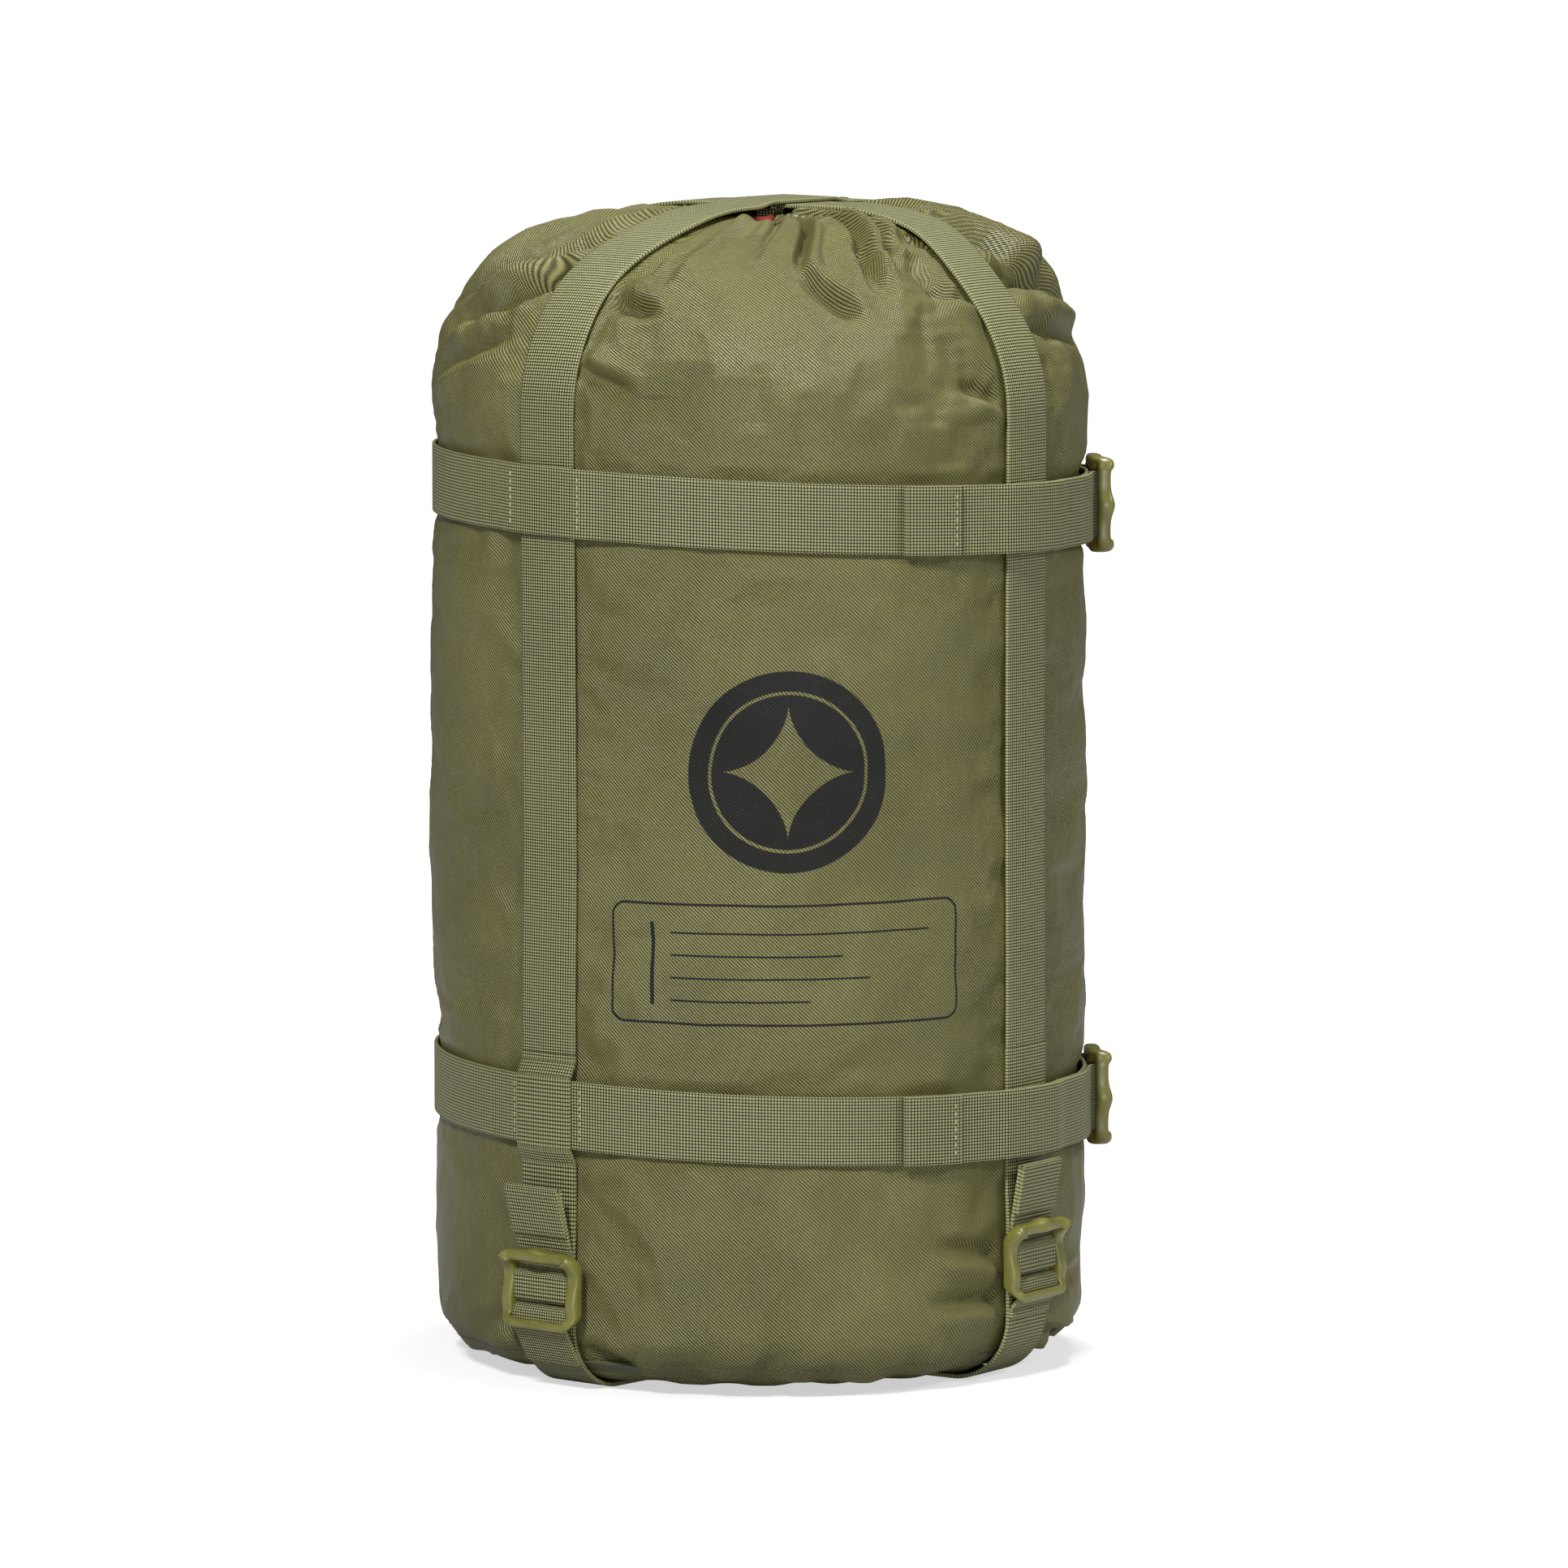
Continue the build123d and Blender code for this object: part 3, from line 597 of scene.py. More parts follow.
# Folds of the shoulder and base, as (start, end, width, depth), each end as (azimuth, height).
FOLDS = [
    ((7, 433), (5, 411), 4.0, 6.5),
    ((5, 414), (16, 400), 4.0, 5.0),
    ((22, 434), (23, 406), 4.6, 7.0),
    ((33, 432), (30, 414), 4.5, 4.5),
    ((-18, 433), (-24, 412), 5.0, 3.4),
    ((-3, 431), (-6, 414), 4.5, 3.6),
    ((-36, 408), (-24, 404), 3.6, 5.0),
    ((-38, 384), (-26, 376), 4.0, 4.6),
    ((41, 398), (31, 404), 3.8, 4.6),
    ((43, 362), (33, 370), 3.8, 4.4),
    ((-60, 433), (-74, 400), 6.0, 7.5),
    ((-72, 414), (-92, 380), 6.5, 6.4),
    ((-59, 418), (-80, 394), 5.0, 6.0),
    ((-56, 402), (-82, 384), 5.5, 5.2),
    ((-58, 382), (-86, 366), 6.0, 4.6),
    ((-88, 428), (-104, 392), 8.0, 4.6),
    ((-118, 430), (-108, 400), 7.0, 4.6),
    ((66, 433), (80, 404), 5.5, 7.5),
    ((62, 417), (86, 406), 4.6, 6.6),
    ((64, 398), (90, 388), 5.0, 6.0),
    ((84, 424), (98, 384), 6.0, 6.4),
    ((104, 430), (112, 394), 7.0, 4.6),
    ((150, 432), (156, 392), 7.0, 4.8),
    ((172, 432), (166, 400), 6.0, 4.2),
    ((186, 432), (196, 388), 7.0, 5.0),
    ((208, 432), (206, 398), 6.0, 4.4),
    ((-40, 22), (-27, 15), 5.0, 2.6),
    ((-52, 22), (-66, 12), 5.0, 2.6),
    ((43, 44), (26, 51), 4.5, 4.6),
    ((44, 28), (26, 30), 4.0, 4.2),
    ((57, 34), (76, 40), 4.5, 4.0),
    ((58, 20), (78, 15), 4.0, 3.6),
]


def skin_relief(place, turn):
    """How far the stuffed cloth stands off the plain skin: bulges, puckers, pleats and folds."""
    z = place[..., 2]
    r = np.hypot(place[..., 0], place[..., 1])
    broad = clouds(place, 70, 1) * 1.3 + clouds(place, 34, 2, (1, 1, 0.8)) * 0.9
    small = clouds(place, 15, 3, (1, 1, 0.7)) * 0.45
    ridges = 1 - np.abs(clouds(place, 26, 4, (1, 1, 0.7))) * 2
    relief = broad + small + np.clip(ridges, 0, 1) ** 3 * 0.7 - 0.8
    straps = strap_gap(place)
    relief += 2.2 * smooth(straps, 13, 46) * (1 - smooth(z, HEIGHT - 26, HEIGHT - 2)) - 0.4
    belts = belt_gap(place, turn)
    for name in BELT_HEIGHTS:
        gap = np.abs(z - belt_height(name, turn))
        beside = np.exp(-((gap - 15) / 11) ** 2)
        pucker = np.sin(turn * 34 + 2.4 * clouds(place, 40, 5)) * (0.5 + clouds(place, 55, 6))
        relief += beside * pucker * 0.9
    beside = np.exp(-((straps - 15) / 9) ** 2) * (z < HEIGHT - 16)
    relief += beside * clouds(place, 9, 7, (0.4, 0.4, 1)) * 1.1
    plump = smooth(-r, -119, -96) * (1 - smooth(-r, -58, -36)) * (z > HEIGHT - 110)
    relief += 2.0 * plump * smooth(straps, 12, 46)
    shoulder = smooth(z, HEIGHT - 64, HEIGHT - 16)
    pleats = np.sin(turn * 19 + 3.0 * clouds(place, 60, 8) + 0.8)
    pleats = pleats + 0.6 * np.sin(turn * 31 + 3.4 * clouds(place, 45, 9))
    relief += shoulder * pleats * (0.5 + clouds(place, 50, 10)) * 1.7
    gather = smooth(-r, -64, -28) * (z > 300)
    tight = np.sin(turn * 27 + 2.0 * clouds(place, 25, 11))
    relief += gather * tight * 1.3
    for start, end, width, depth in FOLDS:
        relief += fold(turn, z, start, end, width, depth)
    low = 1 - smooth(z, 8, 30)
    puckers = np.sin(turn * 23 + 2.6 * clouds(place, 50, 12)) * 0.9
    relief += low * (puckers + clouds(place, 18, 13) * 0.8)
    # The straps and belts hold the cloth down.
    held = 1 - smooth(straps, 12.5, 19)
    held = np.where(z > HEIGHT - 9, held * 0.9, held)
    pressed = np.minimum(relief, -0.15)
    relief = relief * (1 - held) + np.clip(pressed, -1.4, 0) * held
    belted = 1 - smooth(belts, 12.0, 19)
    relief = relief * (1 - belted) + np.clip(relief, -0.9, 0.35) * belted
    rim = smooth(-r, -34, -26) * (z > 300)
    relief = relief * (1 - 0.75 * rim)
    # The gathered cloth dips in front of the mouth, below what is packed inside.
    dip = np.exp(-(((np.degrees(turn) + 6) / 13) ** 2))
    return relief - 7.5 * dip * smooth(-r, -58, -32) * (z > 300)


SKIN_ROWS, SKIN_COLS = 330, 500
SWELL_ROWS, SWELL_COLS = 96, 144
SWELL_CAP = 0.0055
SWELL_FRAMES = 21


def slack_cloth():
    """A coarse skin with surplus cloth, swollen by the load and held by belts, straps, seam and mouth."""
    piece, row, col = grid_piece("slack_skin", SWELL_ROWS, SWELL_COLS + 1)
    share = row / (SWELL_ROWS - 1)
    turn = col / SWELL_COLS * 2 * pi - pi
    place, normal = skin_frame(share, turn)
    start = place + normal * (0.35 * clouds(place, 22, 21)[:, None])
    set_points(piece, start * MM)
    edit(piece, lambda: bpy.ops.mesh.remove_doubles(threshold=1e-5))
    rest = points_of(piece)
    at = rest / MM
    angle = np.arctan2(at[:, 0], -at[:, 1])
    ends = (at[:, 2] < 12) | ((np.hypot(at[:, 0], at[:, 1]) < 34) & (at[:, 2] > 300))
    grip = 1 - smooth(np.minimum(belt_gap(at, angle), strap_gap(at)), 9, 16)
    grip = np.where(ends, 1.0, grip)
    group = piece.vertex_groups.new(name="held")
    for index in np.nonzero(grip > 0.02)[0]:
        group.add([int(index)], float(grip[index]), "REPLACE")
    made = piece.modifiers.new("Cloth", "CLOTH")
    cloth = made.settings
    cloth.quality = 6
    cloth.mass = 0.15
    cloth.tension_stiffness = cloth.compression_stiffness = 30
    cloth.shear_stiffness = 18
    cloth.bending_stiffness = 2.5
    cloth.vertex_group_mass = "held"
    cloth.pin_stiffness = 8
    cloth.shrink_min = cloth.shrink_max = -0.03
    cloth.use_pressure = True
    cloth.uniform_pressure_force = 1.6
    cloth.effector_weights.gravity = 0
    made.collision_settings.use_collision = False
    scene = bpy.context.scene
    scene.frame_start, scene.frame_end = 1, SWELL_FRAMES + 3
    for number in range(1, SWELL_FRAMES + 1):
        scene.frame_set(number)
    graph = bpy.context.evaluated_depsgraph_get()
    swollen = piece.evaluated_get(graph)
    co = np.empty(len(swollen.data.vertices) * 3)
    swollen.data.vertices.foreach_get("co", co)
    moved = co.reshape(-1, 3) - rest
    scene.frame_set(1)
    size = np.linalg.norm(moved, axis=1, keepdims=True)
    moved *= np.tanh(size / SWELL_CAP) * SWELL_CAP / np.maximum(size, 1e-9)
    field = np.zeros((SWELL_ROWS, SWELL_COLS, 3))
    nearest = {}
    for index, point in enumerate(at):
        c = int(round((np.arctan2(point[0], -point[1]) + pi) / (2 * pi) * SWELL_COLS)) % SWELL_COLS
        nearest.setdefault(c, []).append((index, point))
    for c, column in nearest.items():
        column.sort(key=lambda item: order_on_outline(item[1]))
        for k, (index, _) in enumerate(column[:SWELL_ROWS]):
            field[k, c] = moved[index]
    bpy.data.objects.remove(piece)
    return field / MM


def order_on_outline(point):
    """Grows from the base seam, up the wall, over the shoulder and in to the mouth."""
    r = hypot(point[0], point[1])
    return point[2] if r > 90 or point[2] < 300 else 1000 - r


def between(field, share, turn):
    """The swelling at any place, from the coarse skin's."""
    rows, cols, _ = field.shape
    y = share * (rows - 1)
    x = ((turn + pi) / (2 * pi) * cols) % cols
    y0 = np.clip(np.floor(y).astype(int), 0, rows - 2)
    x0 = np.floor(x).astype(int) % cols
    fy, fx = (y - y0)[:, None], (x - np.floor(x))[:, None]
    fy, fx = fy * fy * (3 - 2 * fy), fx * fx * (3 - 2 * fx)
    x1 = (x0 + 1) % cols
    low = field[y0, x0] * (1 - fx) + field[y0, x1] * fx
    high = field[y0 + 1, x0] * (1 - fx) + field[y0 + 1, x1] * fx
    return low * (1 - fy) + high * fy


def row_share(t):
    """The share of the outline at a row: rows lie closer together over the shoulder and crown."""
    return np.interp(t, (0, 0.48, 1), (0, 0.66, 1))


def calmed(field, times=24):
    """A grid of values, averaged with their neighbours many times."""
    field = field.copy()
    for _ in range(times):
        field[1:-1] = (field[:-2] + 2 * field[1:-1] + field[2:]) / 4
        field[:, 1:-1] = (field[:, :-2] + 2 * field[:, 1:-1] + field[:, 2:]) / 4
    return field


def skin_uv(piece, row, col, places):
    """Cloth coordinates: plain on the wall, and by lengths along the folded crown, in four gores."""
    net = np.zeros((SKIN_ROWS, SKIN_COLS + 1, 3))
    net[row, col] = places
    shares = row_share(np.arange(SKIN_ROWS) / (SKIN_ROWS - 1))
    line, length = outline()
    height = np.interp(shares, np.linspace(0, 1, len(line)), line[:, 1])
    on_crown = smooth(height, 330, 362)[:, None] * (shares > 0.5)[:, None]
    up = np.linalg.norm(np.diff(net, axis=0), axis=2)
    up = up * on_crown[1:] + np.diff(shares * length)[:, None] * (1 - on_crown[1:])
    rise = np.vstack([np.zeros(SKIN_COLS + 1), np.cumsum(up, axis=0)])
    round_sack = np.linalg.norm(np.diff(net, axis=1), axis=2)
    round_sack = np.hstack([np.zeros((SKIN_ROWS, 1)), np.cumsum(round_sack, axis=1)])
    turned = np.linspace(-180, 180, SKIN_COLS + 1)
    gores = [turned < -129.5, turned < -45, turned < 50.5, turned < 135]
    middle = np.select(gores, [-178, -87.25, 0, 92.75], 178)
    centre = np.rint((middle + 180) / 360 * SKIN_COLS).astype(int)
    across = round_sack - round_sack[:, centre] + np.radians(middle) * RADIUS
    across = across * on_crown + np.radians(turned) * RADIUS * (1 - on_crown)
    across, rise = calmed(across), calmed(rise)
    first = CORNER_HEIGHT - CORNER_RADIUS * radians(90 - SEAM_ANGLE)
    which = np.empty(len(piece.data.loops), dtype=int)
    piece.data.loops.foreach_get("vertex_index", which)
    uv = np.stack([across[row, col], rise[row, col] + first], 1)[which] * MM
    piece.data.uv_layers[0].data.foreach_set("uv", uv.ravel())


def skin():
    piece, row, col = grid_piece("sack_skin", SKIN_ROWS, SKIN_COLS + 1)
    share = row_share(row / (SKIN_ROWS - 1))
    turn = col / SKIN_COLS * 2 * pi - pi
    place, normal = skin_frame(share, turn)
    at = place + normal * skin_relief(place, turn)[:, None]
    free = smooth(strap_gap(place), 12, 20) * smooth(belt_gap(place, turn), 12, 18)
    calm = 0.5 + 0.5 * smooth(place[:, 2], HEIGHT - 110, HEIGHT - 50)
    at = at + between(slack_cloth(), share, turn) * (free * calm)[:, None]
    reach = np.hypot(place[:, 0], place[:, 1])
    at[:, 0] += centre_shift(at[:, 2]) * over_crown(place) * (1 - smooth(-reach, -40, -28))
    set_points(piece, at * MM)
    skin_uv(piece, row, col, at)
    edit(piece, lambda: bpy.ops.mesh.remove_doubles(threshold=1e-5))
    modifier(piece, "SOLIDIFY", thickness=0.6 * MM, offset=-1)
    soften(piece, 80)
    dress(piece, CLOTH_PRINTED)
    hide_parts("side_panel")
    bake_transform(piece)


# ---- webbing ----


def webbing(name, line, across, hug=0.0, width=WEB_WIDTH, start=0.0):
    """Flat webbing along a line. Its edges turn in by hug, so that it lies on the round sack."""
    line = np.array(line)
    rows, cols = len(line), 13
    piece, row, col = grid_piece(name, rows, cols)
    along = unit(np.gradient(line, axis=0))
    across = np.broadcast_to(unit(across), line.shape)
    outward = unit(np.cross(across, along))
    hug = np.broadcast_to(hug, rows)
    side = (col / (cols - 1) - 0.5) * width
    turned_in = (hug[row] * side**2 / 2)[:, None]
    set_points(piece, (line[row] + across[row] * side[:, None] - outward[row] * turned_in) * MM)
    scale_uv(piece, (width * MM, run_length(line)[-1] * MM), (-width / 2 * MM, start * MM))
    modifier(piece, "SOLIDIFY", thickness=WEB_THICK * MM, offset=0, use_even_offset=False)
    round_edges(piece, 0.3, 2)
    soften(piece, 50)
    return dress(piece, WEBBING)


def ladder_tail(azimuth):
    """A tail from the turn inside its lock to its folded end, as places."""
    tail_along, tail_out = TAIL_ENDS[azimuth]
    slope = unit((tail_along - LIP_PITCH - 2, tail_out - BACK))
    beside = np.array([-slope[1], slope[0]])
    corner = np.array([tail_along, tail_out]) + beside * FOLD_STEP
    end = corner - slope * TAIL_FOLD
    corners = [
        (LOCK_TURN, FIRST_LAYER + TURN_RADIUS), (LOCK_TURN, OVER), (14.2, OVER), (16.6, BACK),
        (LIP_PITCH + 2, BACK), (tail_along, tail_out), tuple(corner), tuple(end),
    ]
    radii = [TURN_RADIUS - 0.01, 1.6, 1.6, 6.0, FOLD_STEP / 2 - 0.01, FOLD_STEP / 2 - 0.01]
    flat = rounded(corners, radii, 0.9)
    return upright(azimuth, [(RADIUS + n, BAR_HEIGHTS[azimuth] + v) for v, n in flat])


def upright(azimuth, corners):
    """(outward, height) pairs in the vertical plane at an azimuth, as places."""
    corners = np.array(corners)
    return corners[:, :1] * out(azimuth) + corners[:, 1:] * np.array([0, 0, 1.0])


def strap_foot(name, azimuth, over_belt):
    """The long strap's lower run, from the split down into its lock, and its tail."""
    bar = BAR_HEIGHTS[azimuth]
    wall = RADIUS + FIRST_LAYER
    corners = [(wall, SPLIT_HEIGHT)]
    radii = []
    if over_belt:
        middle = float(belt_height("lower", radians(azimuth)))
        high = RADIUS + 2.0 + LAYER + 0.3
        corners += [(wall, middle + 19), (high, middle + 13.5), (high, middle - 13.5), (wall, middle - 19)]
        radii += [2.5] * 4
        corners[0] = (wall, max(SPLIT_HEIGHT, middle + 22))
    corners += [(wall, bar + LOCK_TURN), (wall + TURN_RADIUS, bar + LOCK_TURN)]
    radii.append(TURN_RADIUS - 0.01)
    body = FEET[azimuth]
    line = upright(azimuth, rounded(corners, radii))
    hug = smooth(line[:, 2], bar + 22, bar + 40) / RADIUS
    run = webbing(f"long_strap_{name}_{body}_run", line[::-1], side_of(azimuth), hug[::-1])
    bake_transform(run)
    tail = webbing(f"long_strap_{name}_{body}_tail", ladder_tail(azimuth), side_of(azimuth))
    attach(tail, f"lock_{body}")


def strap_top(name):
    """The long strap's upper run, over the shoulder, the crossing and down the back."""
    azimuth = STRAPS[name]
    wall = RADIUS + FIRST_LAYER
    top = HEIGHT + FIRST_LAYER
    low = HEIGHT - SHOULDER_HEIGHT
    rx, rz = wall - CROWN_RADIUS, SHOULDER_HEIGHT + FIRST_LAYER
    front_start = SPLIT_HEIGHT
    if name == "a":
        front_start = max(SPLIT_HEIGHT, float(belt_height("lower", radians(azimuth))) + 22)
    half = [(wall, z) for z in np.arange(low, SPLIT_HEIGHT, -1.6)] + [(wall, SPLIT_HEIGHT)]
    arc = [(CROWN_RADIUS + rx * cos(t), low + rz * sin(t)) for t in np.linspace(0, pi / 2, 70)]
    lift = LAYER if name == "a" else 0.0
    flat = [(r, top + lift * (1 - float(smooth(abs(r), 17, 27)))) for r in np.arange(29, -30, -1.6)]
    front = half[::-1] + arc[1:] + flat
    back = [(-r, z) for r, z in (half[::-1] + arc[1:-1])][::-1]
    front = [p for p in front if not (p[0] > 100 and p[1] < front_start - 1e-6)]
    line = upright(azimuth, filled(np.array(front + back), 2.2))
    wander = 0.7 * np.sin(run_length(line) / 83 + (1 if name == "a" else 3))
    line = line + side_of(azimuth) * wander[:, None] * smooth(line[:, 2], 140, 200)[:, None]
    line[:, 0] += centre_shift(line[:, 2]) * over_crown(line)
    hug = (1 - smooth(line[:, 2], HEIGHT - 41, HEIGHT - 2)) / RADIUS
    piece = webbing(f"long_strap_{name}_top", line, side_of(azimuth), hug)
    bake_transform(piece)


def bar_loop():
    """The way round a lock's fixed bar, as (outward, along) corners."""
    wrap = 1.9 + WEB_THICK / 2
    return wrap, BAR_OFFSET + wrap


def loop_down(azimuth):
    """A base strap's end: up the wall, round the bar and down on to itself, as corners and radii."""
    bar = BAR_HEIGHTS[azimuth]
    wrap, outer = bar_loop()
    corners = [(RADIUS + FIRST_LAYER, bar + wrap), (RADIUS + outer, bar + wrap)]
    radii = [wrap - 0.01, wrap - 0.01]
    foot = CORNER_HEIGHT - WEB_THICK / 2
    landing = bar - wrap - 6.0
    if landing > CORNER_HEIGHT:
        wall = RADIUS + FIRST_LAYER + FOLD_STEP
        corners += [(RADIUS + outer, bar - wrap - 1.5), (wall, landing), (wall, CORNER_HEIGHT)]
        return corners, radii + [2.2, 2.2]
    slope = radians(30.0)
    laid = foot + FOLD_STEP
    touch = (RADIUS + FIRST_LAYER - foot + laid * cos(slope), CORNER_HEIGHT - laid * sin(slope))
    rise = (RADIUS + outer - touch[0]) / sin(slope)
    corners += [(RADIUS + outer, touch[1] + rise * cos(slope))]
    corners += [(touch[0] - 2 * sin(slope), touch[1] - 2 * cos(slope))]
    return corners, radii + [3.0]


def strap_under(name):
    """The strap under the base, with its ends looped round the locks' fixed bars."""
    azimuth = STRAPS[name]
    front, front_radii = loop_down(azimuth)
    back, back_radii = loop_down(azimuth + 180)
    low = WEB_THICK / 2
    corner = CORNER_HEIGHT - WEB_THICK / 2
    reach = RADIUS + FIRST_LAYER
    middle, radii = [(reach, low)], [corner]
    if name == "b":
        lift = low + FOLD_STEP
        middle += [(30, low), (19, lift), (-19, lift), (-30, low)]
        radii += [6.0] * 4
    middle += [(-reach, low)]
    radii += [corner]
    corners = front[::-1] + middle + [(-r, z) for r, z in back]
    line = upright(azimuth, rounded(corners, front_radii[::-1] + radii + back_radii))
    # The front end comes first, so the way along is down the front and up the back.
    piece = webbing(f"under_strap_{name}", line, -side_of(azimuth))
    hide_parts(f"base_strap_{name}")
    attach(piece, "sack")
    return piece


BELT_NORMAL = out(BELT_LOCK)
BELT_ALONG = -side_of(BELT_LOCK)


def belt_point(along, outward):
    return BELT_NORMAL * (RADIUS + BELT_LAYER - FIRST_LAYER + outward) + BELT_ALONG * (along - 8.0)


def belt_offset(name, degrees_round):
    """How far a belt's middle line stands off the sack: more where it passes over a long strap."""
    turned = (np.asarray(degrees_round, float) + 180) % 360 - 180
    raised = smooth(turned, 62, 74)
    for azimuth in FEET:
        if name == "lower" and azimuth == -45.0:
            continue
        gap = np.abs((turned - azimuth + 180) % 360 - 180)
        raised = np.maximum(raised, 1 - smooth(gap, 6.5, 12.5))
    return 2.0 + (BELT_LAYER - 2.0) * raised


def belt_arc(name, start, end, extra=0.0, step=0.75):
    """Part of a belt's way round the sack, flat, with its height following the belt's slope."""
    turns = np.linspace(start, end, int(abs(end - start) / step) + 2)
    reach = RADIUS + belt_offset(name, turns) + extra
    a = np.radians(turns)
    return np.stack([reach * np.sin(a), -reach * np.cos(a), np.zeros(len(a))], 1)


def with_height(name, line):
    line = np.array(line)
    line[:, 2] = belt_height(name, np.arctan2(line[:, 0], -line[:, 1]))
    return line


def belt(name):
    """A belt: round the back and front, through its lock, and back in a hemmed tail."""
    tail_start = BELT_LOCK - 9.0
    meet = out(tail_start) * (RADIUS + BELT_LAYER + LAYER)
    tangent = side_of(tail_start)
    corners = [
        belt_point(8.0, FIRST_LAYER), belt_point(LOCK_TURN, FIRST_LAYER), belt_point(LOCK_TURN, OVER),
        belt_point(14.2, OVER), meet + tangent * 5.0, meet,
    ]
    through = rounded(corners, [TURN_RADIUS - 0.01, TURN_RADIUS - 0.01, 1.6, 1.8], 0.9)
    base = "sack" if name == "lower" else "upper_belt"
    round_sack = filled(belt_arc(name, 136, BELT_SPLIT), 1.8)
    piece = webbing(f"{name}_belt_webbing", with_height(name, round_sack), (0, 0, -1))
    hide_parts(f"belt_{name}_strap")
    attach(piece, base)
    under = belt_arc(name, BELT_SPLIT, 180 + 268.5)
    tail = belt_arc(name, tail_start - 0.5, 21.0, LAYER)
    end = out(21.0) * (RADIUS + belt_offset(name, 21.0) + LAYER)
    turn = [end + out(21.0) * FOLD_STEP * (1 - cos(a)) / 2 - side_of(21.0) * FOLD_STEP / 2 * sin(a)
            for a in np.linspace(0.3, pi - 0.3, 5)]
    back = belt_arc(name, 21.0, 31.5, LAYER + FOLD_STEP)
    line = filled(np.concatenate([under, through, tail, turn, back]), 1.8)
    gone = run_length(round_sack)[-1]
    end = webbing(f"{name}_belt_end", with_height(name, line), (0, 0, -1), start=gone)
    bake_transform(end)


def belt_anchor(name):
    """The short webbing that holds a belt's lock."""
    wrap, outer = bar_loop()
    land, back_land = BELT_LOCK + 9.0, BELT_LOCK + 12.5
    meet = out(land) * (RADIUS + BELT_LAYER)
    back_meet = out(back_land) * (RADIUS + BELT_LAYER + FOLD_STEP)
    corners = [
        meet, meet - side_of(land) * 4.0, belt_point(wrap, FIRST_LAYER), belt_point(wrap, outer),
        belt_point(-wrap - 1.5, outer), back_meet - side_of(back_land) * 4.0, back_meet,
    ]
    loop = rounded(corners, [6.0, wrap - 0.01, wrap - 0.01, 2.2, 2.2], 0.9)
    line = filled(np.concatenate([
        belt_arc(name, 121, land + 0.5), loop, belt_arc(name, back_land + 0.5, 121, FOLD_STEP)]), 1.8)
    piece = webbing(f"{name}_belt_anchor_loop", with_height(name, line), (0, 0, 1))
    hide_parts(f"belt_{name}_anchor")
    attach(piece, "sack" if name == "lower" else "upper_belt")


# ---- ladder locks ----


def window_line(share):
    """A lock frame's middle line, a rounded rectangle, at a share of its way round: place, facing."""
    half_wide, half_high, middle, corner = 15.5, 12.8, 8.8, 3.6
    arc = pi / 2 * corner
    gone = share * 4 * (half_wide + half_high - 2 * corner + arc)
    for quarter in range(4):
        facing = quarter * pi / 2
        side = 2 * ((half_wide if quarter % 2 else half_high) - corner)
        if gone <= side + arc or quarter == 3:
            break
        gone -= side + arc
    turned = facing + min(max((gone - side) / corner, 0), pi / 2)
    back = max(side - gone, 0)
    u = (half_wide - corner) * (1 if quarter in (0, 3) else -1) + corner * cos(turned)
    v = (half_high - corner) * (1 if quarter < 2 else -1) + corner * sin(turned)
    return np.array([u + back * sin(facing), v - back * cos(facing) + middle]), turned


def lock_frame():
    """The moulded frame: broad wavy rails, a horned thumb lip, and a thin rounded lower rim."""
    rounds, ribs = 132, 20
    clear()
    bpy.ops.mesh.primitive_torus_add(
        major_segments=rounds, minor_segments=ribs, major_radius=1.0, minor_radius=0.25)
    piece = bpy.context.object
    co = points_of(piece)
    major = np.arctan2(co[:, 1], co[:, 0]) % (2 * pi)
    minor = np.arctan2(co[:, 2], np.hypot(co[:, 0], co[:, 1]) - 1.0)
    moved = np.empty_like(co)
    for index, (m, a) in enumerate(zip(major, minor)):
        (u, v), direction = window_line(m / (2 * pi) % 1.0)
        lip = float(smooth(v, 18.2, 20.6))
        rim = 1 - float(smooth(v, -3.4, 0.5))
        horn = exp(-((abs(u) - 16.2) / 2.3) ** 2)
        thumb = exp(-(u / 4.2) ** 2)

        def along_frame(rail, at_lip, at_rim):
            return (rail * (1 - lip) + at_lip * lip) * (1 - rim) + at_rim * rim

        width = along_frame(5.0, 4.8, 3.4) + 0.5 * exp(-((v - 15.5) / 3.0) ** 2)
        floor = along_frame(1.9, 4.3, 7.2)
        wave = 0.9 * cos((v - 4) / 22 * 2 * pi)
        crest = along_frame(7.0 + wave, 9.3 + 2.4 * horn + 1.6 * thumb, 9.0)
        crest += 2.4 * exp(-((v - 19.0) / 2.8) ** 2) * (1 - lip)
        reach = lip * (1.5 * horn + 1.3 * thumb - 0.5)
        c, s = cos(a), sin(a)
        across = np.sign(c) * abs(c) ** 0.62 * width / 2 + max(c, 0) * reach
        rise = np.sign(s) * abs(s) ** 0.62 * (crest - floor) / 2 + (crest + floor) / 2
        moved[index] = (u + cos(direction) * across, v + sin(direction) * across, rise)
    set_points(piece, moved * MM)
    return piece


